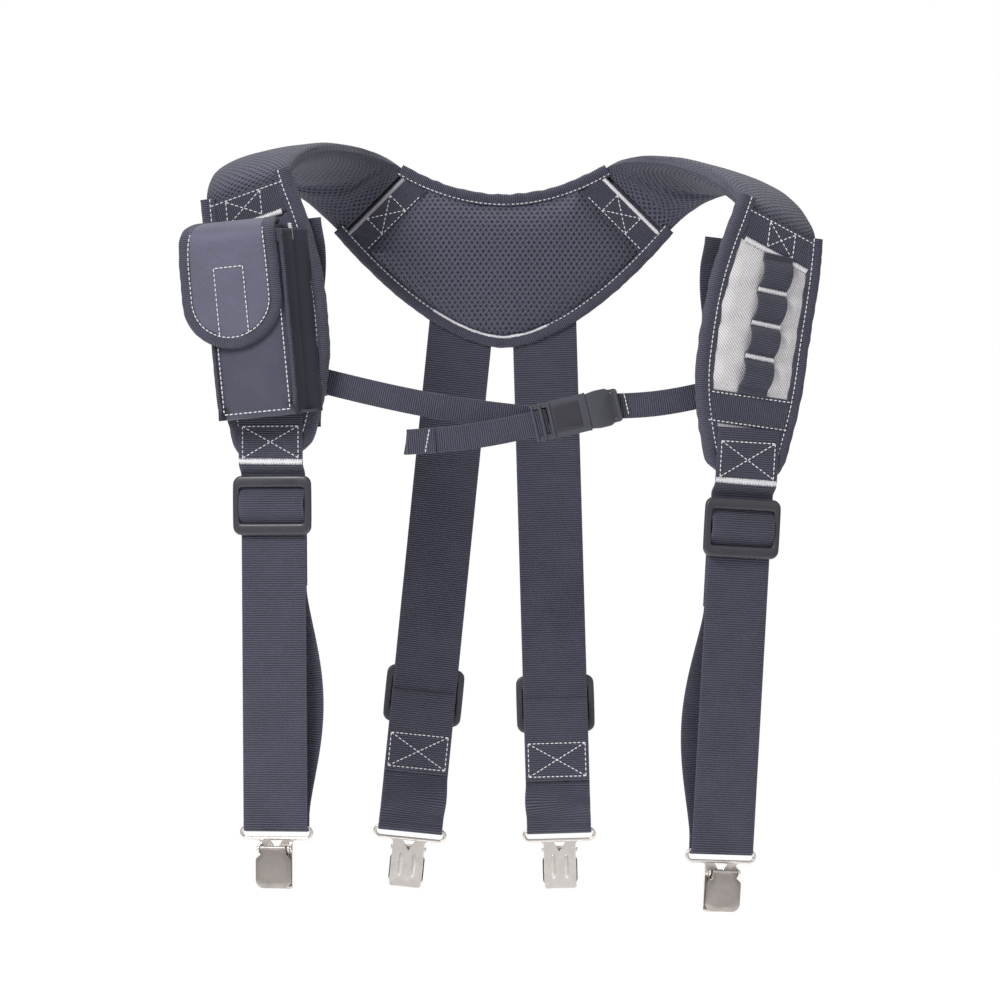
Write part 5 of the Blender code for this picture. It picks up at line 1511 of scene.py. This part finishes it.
def build_pouch(panel):
    matrix = panel.matrix
    rows, columns, turn = 54, 24, 0.20

    def outside(u, v):
        """Up the front face from the panel, round the lower front edge."""
        if u < turn:
            w, high = u / turn, 0.0
        else:
            w, high = 1.0, (u - turn) / (1 - turn)
        point = pouch_point(v, high, w)
        side = abs(2 * v - 1)
        if u > turn:
            point.y -= 0.0020 * (1 - side**2.5) * math.sin(math.pi * min(1.0, high * 0.9 + 0.1))
            point.y += 0.0030 * side**5
            point.z += 0.0100 * side**5 * math.exp(-high / 0.05)
            point.x -= math.copysign(0.0032 * side**3 * math.exp(-high / 0.07), 2 * v - 1)
        corner = math.exp(-((u - turn) / 0.040) ** 2)
        point.y += 0.0042 * corner
        point.z += 0.0022 * corner
        return point

    def inside(u, v):
        point = outside(u, v)
        if u < turn:
            point.z += CLOTH_WALL
        else:
            point.y += CLOTH_WALL
        if abs(u - turn) < 0.04:
            point.y += CLOTH_WALL / 2
            point.z += CLOTH_WALL / 2
        return point

    front = closed_pad("pouch_front_face", rows, columns, outside, inside, CLOTH,
                       lambda u, v: ((v - 0.5) * 0.062, u * 0.175), matrix)
    layer = front["layer"]
    puff(front, list(range(layer, 2 * layer)) + list(front["rim"]), cap=0.0016)
    crinkle(front, 0.0006, 42, 9.0)
    pieces = [front]
    for u, sign, name in ((0.0, -1, "outer"), (1.0, 1, "inner")):
        def wall(side):
            def place(r, c):
                point = pouch_point(u, r, 0.03 + 0.94 * c)
                fold = math.sin(math.pi * c)
                point.x += sign * (-0.0030 * fold + 0.0008 * math.sin(4 * math.pi * c)) \
                    - side * sign * CLOTH_WALL / 2
                point.x += 0.0006 * noise.noise(point * 60.0)
                return point
            return place
        gusset = closed_pad(f"pouch_{name}_gusset", 48, 14, wall(-1), wall(1), SHADED_GUSSET_CLOTH,
                            lambda r, c: (c * 0.030, r * 0.143), matrix)
        rim = list(gusset["rim"])
        puff(gusset, rim + [gusset["layer"] + i for i in rim], pressure=2.0, cap=0.0010)
        pieces.append(gusset)
        welt = []
        for t in np.linspace(0.0, 1.0, 60):
            foot = math.exp(-t / 0.05)
            step = Vector((sign * (0.0002 - 0.0018 * foot), 0.0016, 0.0075 * foot))
            welt.append(pouch_point(u, t, 1.0) + step)
        around = [(0.0016 * math.cos(a), 0.0013 * math.sin(a) + 1e-9)
                  for a in [math.pi / 5 * k + 0.2 for k in range(10)]]
        piping = sweep(f"pouch_{name}_piping", along_path(welt, (1, 0, 0)), around, TAPE, matrix)
        crinkle(piping, 0.0003, 160, 4.0)
        pieces.append(piping)
    hem = [pouch_point(t, 1.0, 1.0) + Vector((0, 0.0006 - 0.0016 * math.sin(math.pi * t), -0.005))
           for t in np.linspace(0.0, 1.0, 40)]
    rim = webbing_strip("pouch_mouth_hem", hem, TOP_WEB, matrix, HEM_HEIGHT, CHEST_THICK, (0, 0, 1),
                        FINE_RIB, FINE_DEPTH)
    pieces.append(rim)

    marks = Stitches()
    for u, sign in ((0.0, 1), (1.0, -1)):
        beside = Vector((sign * 0.0040, -0.0010, 0.0))
        line = [pouch_point(u, t, 1.0) + beside for t in np.linspace(0.04, 0.96, 50)]
        marks.line(line, OUTWARD)
    low = [pouch_point(t, 0.03, 1.0) + Vector((0, -0.0003, 0)) for t in np.linspace(0.07, 0.93, 20)]
    marks.line(low, OUTWARD)
    corner = pouch_point(1.0, 1.0, 0.35) - Vector((0.006, 0, 0))
    marks.tack(corner + Vector((0.0016, -0.001, 0.004)), corner + Vector((0.0020, -0.001, -0.008)),
               OUTWARD, 0.0030, 0.0007)
    pieces.append(marks.piece("pouch_thread", matrix))

    patch = touch_patch("pouch_hook_pad", Vector((FLAP_X, FRONT_Y - 0.0034, 0.0)), 0.0022, matrix)
    crinkle(patch, 0.0004, 700, 2.0)
    pieces.append(patch)
    for obj in pieces:
        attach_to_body(obj, "harness")
    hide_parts("pouch_body")
    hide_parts("pouch_hook_patch")


def build_flap(panel):
    """Flap hinged above the pouch, over its mouth and down its front, with a bound edge."""
    hinge = Vector((FLAP_X, BACK_Y - 0.0045, POUCH_TOP + FLAP_HINGE_UP))
    matrix = panel.matrix @ Matrix.Translation(hinge)
    hang = FRONT_Y - 0.0055 - hinge.y
    bend = 0.013
    line = [Vector((0, 0.0006, 0.0)), Vector((0, -0.009, 0.0005)), Vector((0, hang + bend, -0.0012))]
    line += [Vector((0, hang + bend + b, -0.0012 - bend + c)) for b, c in arc(0, 0, bend, 90, 180, 8)[1:]]
    line.append(line[-1] + Vector((0, 0, -FLAP_DROP + 0.003)))
    line = softened(resample(line, 0.001), 20)
    run = np.r_[0.0, np.cumsum([(b - a).length for a, b in zip(line, line[1:])])]
    total, round_ = run[-1], FLAP_HALF * 0.95
    heights, depths = [p.z for p in line], [p.y for p in line]

    def place(x, q):
        """Point of the flap's middle surface from its flat pattern: x across, q down from the hinge."""
        share = abs(x) / FLAP_HALF
        y, z = float(np.interp(q, run, depths)), float(np.interp(q, run, heights))
        sag = min(1.0, max(0.0, (q - 0.010) / 0.03))
        return Vector((x, y + 0.0040 * sag * share**2.6, z - 0.0010 * (1 - sag) * share**2))

    def pattern(u, v, shrink=1.0):
        s = math.sin(math.pi / 2 * (2 * v - 1))
        foot = total - round_ * (1 - math.sqrt(max(0.0, 1 - s * s)))
        q = u * foot
        shoulder = (0.34 if s < 0 else 0.10) * max(0.0, 1 - q / 0.058) ** 2
        return s * FLAP_HALF * (1 - shoulder) * shrink, q

    def surface(side):
        def point(u, v):
            x, q = pattern(0.985 * u, v, 0.985)
            lift = side * (FLAP_THICK / 2 + (0.0009 if side < 0 else 0.0) * (1 - abs(2 * v - 1) ** 2))
            here, below = place(x, q), place(x, min(total, q + 0.001))
            down = (below - here).normalized() if (below - here).length > 1e-9 else Vector((0, 0, -1))
            out = down.cross(Vector((1, 0, 0))).normalized()
            out = -out if out.y > 0 or (abs(out.y) < 0.2 and out.z < 0) else out
            return here - out * lift
        return point

    flap = closed_pad("pouch_flap_cloth", 70, 34, surface(-1), surface(1), LIT_FLAP_CLOTH,
                      lambda u, v: pattern(u, v), matrix)
    layer = flap["layer"]
    puff(flap, list(range(layer, 2 * layer)) + list(flap["rim"]), cap=0.0012)
    crinkle(flap, 0.0006, 40, 11.0)

    edge = [pattern(t, 0.0) for t in np.linspace(0.02, 1.0, 50)]
    edge += [pattern(1.0, t) for t in np.linspace(0.0, 1.0, 70)[1:-1]]
    edge += [pattern(t, 1.0) for t in np.linspace(1.0, 0.02, 50)]
    edge = even(edge, 0.0016)
    middle = (0.0, total * 0.5)
    tape = edge_tape("pouch_flap_binding", edge, middle, -0.0021, 0.0019, matrix, place, 0.0094, 0.0080,
                     0.0005, 6.0)

    marks = Stitches()
    seam_line(marks, edge, middle, 0.0080, -0.0027, place)
    box_low, box_high = -0.0100, 0.0125
    top_q = total - 0.0600
    box = [(box_low, total - 0.0100), (box_low, top_q), (box_high, top_q), (box_high, total - 0.0100)]
    marks.line([place(x, q) + Vector((0, -0.0030, 0)) for x, q in box], OUTWARD)
    thread_piece = marks.piece("pouch_flap_thread", matrix)

    patch = touch_patch("pouch_loop_pad", Vector((0.0, hang + 0.0010, -hinge.z)), 0.0012, matrix)
    crinkle(patch, 0.0003, 500, 3.0)
    for obj in (flap, tape, thread_piece, patch):
        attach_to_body(obj, "pouch_flap")
    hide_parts("pouch_flap")
    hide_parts("pouch_loop_patch")


build_pouch(LEFT)
build_flap(LEFT)


# ---------------------------------------------------------------- height rails and chest strap
RAIL_MIDDLE, RAIL_REACH, RAIL_STRAIGHT = 0.100, 0.078, 0.058
RAIL_Y, RAIL_WIDTH = 0.0130, 0.019
RAIL_INSET = 0.017                           # from the panel's widest edge to the rail's middle
RAIL_BOW = 0.0030                            # how far the slack upper part bows out sideways
BUCKLE_MOUTH = Vector((0.0628, -0.182, -0.124))
BUCKLE_TILT = math.radians(13)
FEMALE_LENGTH, MALE_LENGTH = 0.042, 0.024
CHEST_RIB = 0.0019


def build_rail(panel):
    foot = panel.matrix @ Vector((panel.inner * (PANEL_HALF - RAIL_INSET) + panel.centre(RAIL_MIDDLE), 0,
                                  RAIL_MIDDLE))
    inward = panel.matrix.col[1].xyz
    inward.z = 0
    matrix = frame_from(inward.cross(Vector((0, 0, 1))), (0, 0, 1), foot)
    near = 0.0095
    path = []
    for i in range(61):
        z = RAIL_REACH * (1 - i / 30)
        close = max(0.0, (abs(z) - RAIL_STRAIGHT) / (RAIL_REACH - RAIL_STRAIGHT))
        y = RAIL_Y + (near - RAIL_Y) * min(1.0, close * 1.4)
        bow = math.sin(math.pi * min(1.0, max(0.0, (z - 0.012) / (RAIL_REACH - 0.012)))) ** 1.2
        path.append(Vector((panel.inner * RAIL_BOW * bow, y, z)))
    web = webbing_strip(f"{panel.side}_height_rail", path, CHEST, matrix, RAIL_WIDTH, WEB_THICK,
                        rib=CHEST_RIB, depth=FINE_DEPTH)
    attach(web, "harness", f"{panel.side}_rail_web")
    marks = Stitches()
    for z in (RAIL_REACH - 0.0040, -RAIL_REACH + 0.0040):
        for step in (0.0, 0.0042):
            height = z - math.copysign(step, z)
            marks.line([(-0.0085, near + WEB_THICK / 2, height), (0.0085, near + WEB_THICK / 2, height)],
                       WEARER_SIDE)
    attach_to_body(marks.piece(f"{panel.side}_rail_thread", matrix), "harness")

    body = "chest_left" if panel is LEFT else "chest_right"
    low, high = local_box(f"{panel.side}_rail_slider", matrix)
    half_x, half_z = RAIL_WIDTH / 2 + 0.0042, 0.0110
    centre = matrix @ Matrix.Translation((0, RAIL_Y, (low.z + high.z) / 2))
    win_x, win_z = RAIL_WIDTH / 2 + 0.0005, half_z - 0.0036
    solid = Solid()
    solid.ring([(half_x - 0.0005, half_z - 0.0005, 0.0022, 0.0032),
                (half_x, half_z, 0.0026, 0.0026),
                (half_x, half_z, 0.0026, -0.0024),
                (half_x - 0.0008, half_z - 0.0008, 0.0022, -0.0032),
                (win_x + 0.0006, win_z + 0.0006, 0.0014, -0.0032),
                (win_x, win_z, 0.0012, -0.0024),
                (win_x, win_z, 0.0012, 0.0024),
                (win_x + 0.0005, win_z + 0.0005, 0.0014, 0.0032)])
    solid.box((-win_x - 0.001, 0.0012, -0.0016), (win_x + 0.001, 0.0028, 0.0016), 0.0003)
    solid.box((-win_x - 0.001, -0.0030, -0.0050), (win_x + 0.001, -0.0014, 0.0050), 0.0003)
    slider = solid.piece(f"{panel.side}_height_slider", PLASTIC, centre)
    attach(slider, body, f"{panel.side}_rail_slider")
    exit_x = panel.inner * (RAIL_WIDTH / 2 + 0.004 - 0.002)
    return matrix @ Vector((exit_x, RAIL_Y, (low.z + high.z) / 2))


def hanging(start, end, sag, steps=30):
    points = []
    for i in range(steps + 1):
        t = i / steps
        drop = sag * math.sin(math.pi * t)
        points.append(Vector(start).lerp(Vector(end), t) - Vector((0, drop, drop)))
    return points


def build_chest_strap():
    left_end, right_end = build_rail(LEFT), build_rail(RIGHT)
    along = Vector((math.cos(BUCKLE_TILT), 0, math.sin(BUCKLE_TILT)))
    up = Vector((-math.sin(BUCKLE_TILT), 0, math.cos(BUCKLE_TILT)))
    buckle = frame_from(along, up, BUCKLE_MOUTH)
    upright = (0, 0, 1)

    def strip(name, path, start_up, end_up, **shape):
        return webbing_strip(name, path, CHEST, None, CHEST_WIDTH, CHEST_THICK,
                             (tuple(start_up), tuple(end_up)), CHEST_RIB, FINE_DEPTH, columns=8, **shape)

    female_end = buckle @ Vector((-FEMALE_LENGTH + 0.0125, 0.0018, 0))
    left = strip("left_chest_strap", hanging(left_end, female_end, 0.004), upright, up)
    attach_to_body(left, "chest_left")
    male_end = buckle @ Vector((MALE_LENGTH - 0.0062, 0.0008, 0))
    right = strip("right_chest_strap", hanging(right_end, male_end, 0.002), upright, up)
    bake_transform(right)
    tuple(right_end)
    for web, node in ((left, "left_chest_webbing"), (right, "right_chest_webbing")):
        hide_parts(node)

    start = buckle @ Vector((-FEMALE_LENGTH + 0.0110, -0.0026, 0))
    end, tail_up = Vector((-0.072, -0.196, -0.147)), Vector((0.17, 0.1, 0.98)).normalized()
    path = hanging(start, end, 0.003)
    tail = strip("chest_tail_strap", path, up, tail_up)
    start.lerp(end, 0.5)
    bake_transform(tail)
    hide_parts("chest_tail_webbing")
    back = (path[-1] - path[-8]).normalized()
    fold_start = end - back * 0.021
    outward = Vector(OUTWARD)
    loop = [fold_start + outward * 0.0013, end + outward * 0.0014, end + back * 0.0012 + outward * 0.0007,
            end + Vector((0, 0.0004, 0))]
    fold = strip("chest_tail_fold", loop, tail_up, tail_up, passes=2)
    attach(fold, "chest_tail")
    marks = Stitches()
    middle = end - back * 0.0150 + outward * 0.0021
    marks.line([middle - tail_up * 0.0086, middle + tail_up * 0.0086], OUTWARD, gap=0.0004)
    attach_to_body(marks.piece("chest_tail_thread"), "chest_tail")
    marks = Stitches()
    middle = buckle @ Vector((MALE_LENGTH + 0.0050, -0.0008, 0))
    marks.line([middle - up * 0.0086, middle + up * 0.0086], OUTWARD, gap=0.0004)
    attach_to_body(marks.piece("chest_right_thread"), "buckle_male")

    # ridged grip bars and a rim on the female half, and rounded cheeks over the male half's arms
    grip = Solid()
    for x in (-0.0410, -0.0350, -0.0285):
        grip.box((x - 0.0011, -0.0062, -0.0134), (x + 0.0011, -0.0042, 0.0134), 0.0005)
    grip.box((-0.0020, -0.0053, -0.0144), (0.0, -0.0040, 0.0144), 0.0004)
    window = [(-0.0250, -0.0085), (-0.0060, -0.0100), (-0.0060, 0.0100), (-0.0250, 0.0085)]
    grip.plate(window, -0.0054, -0.0044, 0.0006)
    ridges = grip.piece("chest_buckle_ridges", PLASTIC, buckle)
    attach(ridges, "chest_left")

    cheek = Solid()
    shape = [(0.0001, -0.0132), (0.0070, -0.0142)] + arc(0.0135, -0.0090, 0.0052, 280, 355, 5)
    shape += [(0.0205, -0.0112), (MALE_LENGTH, -0.0104)]
    shape += [(x, -z) for x, z in reversed(shape)]
    cheek.plate(shape, -0.0050, -0.0034, 0.0006)
    cheek.plate(shape, 0.0034, 0.0046, 0.0005)
    cheek.box((MALE_LENGTH - 0.0026, -0.0058, -0.0112), (MALE_LENGTH - 0.0004, -0.0034, 0.0112), 0.0005)
    cheeks = cheek.piece("chest_buckle_cheeks", PLASTIC, buckle)
    attach(cheeks, "buckle_male")


build_chest_strap()


# ---------------------------------------------------------------- looks of the CAD nodes
def node_material(name):
    if "clip" in name:
        return NICKEL
    if name.endswith("_slider") or "buckle" in name or "release_arm" in name:
        return PLASTIC
    if "shoulder_pad" in name or name == "yoke_cushion":
        return MESH
    if "binding" in name:
        return TAPE
    if "nylon" in name:
        return NYLON
    if "patch" in name:
        return HOOK
    return WEB if "web" in name or "band" in name else CLOTH


for name, node in NODES.items():
    node.data.materials.clear()
    node.data.materials.append(node_material(name))
    for slot_ in node.material_slots:
        slot_.link = "DATA"
for name in ("chest_buckle_female", "chest_buckle_male", "chest_upper_release_arm",
             "chest_lower_release_arm"):
    bevelled(NODES[name], 0.0007, 3)


# ---------------------------------------------------------------- stage, light and camera
WORLD_LIGHT, BACKDROP = 0.40, 1.0            # on the object, and as the camera sees it
FLOOR_RADIUS, FLOOR_DROP, FLOOR_GLOW = 1.6, 0.10, 0.42
FLOOR_FADE = (0.45, 1.55, 1.0, 0.0)          # solid up to the first radius, gone at the second
CAMERA_PLACE, CAMERA_LENS, CAMERA_SENSOR = (-0.003, -4.14, -0.190), 191, 36


def stage():
    scene = bpy.context.scene
    world = bpy.data.worlds.new("studio")
    scene.world = world
    world.use_nodes = True
    nodes, links = world.node_tree.nodes, world.node_tree.links
    background = nodes["Background"]
    path = nodes.new("ShaderNodeLightPath")
    mix = nodes.new("ShaderNodeMix")
    mix.inputs[2].default_value = WORLD_LIGHT
    mix.inputs[3].default_value = BACKDROP
    links.new(path.outputs["Is Camera Ray"], mix.inputs[0])
    links.new(mix.outputs[0], background.inputs["Strength"])
    background.inputs["Color"].default_value = (1.0, 1.0, 1.0, 1.0)

    bm = bmesh.new()
    bmesh.ops.create_circle(bm, cap_ends=True, segments=64, radius=FLOOR_RADIUS)
    mesh = bpy.data.meshes.new("floor")
    bm.to_mesh(mesh)
    bm.free()
    floor = bpy.data.objects.new("floor", mesh)
    scene.collection.objects.link(floor)
    floor.location = (0.0, -0.1, CAD_BOX[0].z - FLOOR_DROP)
    material = bpy.data.materials.new("pale_floor")
    material.use_nodes = True
    nodes, links = material.node_tree.nodes, material.node_tree.links
    shader = nodes["Principled BSDF"]
    shader.inputs["Base Color"].default_value = (0.93, 0.93, 0.94, 1.0)
    shader.inputs["Roughness"].default_value = 0.8
    shader.inputs["Emission Color"].default_value = (1.0, 1.0, 1.0, 1.0)
    shader.inputs["Emission Strength"].default_value = FLOOR_GLOW
    coords = nodes.new("ShaderNodeTexCoord")
    length = nodes.new("ShaderNodeVectorMath")
    length.operation = "LENGTH"
    links.new(coords.outputs["Object"], length.inputs[0])
    fade = nodes.new("ShaderNodeMapRange")
    fade.interpolation_type = "SMOOTHSTEP"
    for socket, value in zip(list(fade.inputs)[1:5], FLOOR_FADE):
        socket.default_value = value
    links.new(length.outputs["Value"], fade.inputs[0])
    links.new(fade.outputs[0], shader.inputs["Alpha"])
    mesh.materials.append(material)

    def area(name, place, aim, size, power):
        light = bpy.data.lights.new(name, "AREA")
        light.shape = "DISK"
        light.size = size
        light.energy = power
        obj = bpy.data.objects.new(name, light)
        scene.collection.objects.link(obj)
        obj.location = place
        obj.rotation_euler = (Vector(aim) - Vector(place)).to_track_quat("-Z", "Y").to_euler()

    area("key", (-1.3, -1.9, 1.35), (0.0, -0.1, -0.15), 1.1, 52)
    area("fill", (1.6, -1.7, 0.4), (0.0, -0.1, -0.2), 1.4, 4)
    area("top", (0.1, 0.5, 1.9), (0.0, -0.1, -0.1), 1.2, 20)

    lens = bpy.data.cameras.new("camera")
    camera = bpy.data.objects.new("camera", lens)
    scene.collection.objects.link(camera)
    camera.location = CAMERA_PLACE
    camera.rotation_euler = (math.pi / 2, 0, 0)
    lens.lens, lens.sensor_width = CAMERA_LENS, CAMERA_SENSOR
    lens.clip_end = 50
    scene.camera = camera
    scene.view_settings.view_transform = "Standard"


stage()
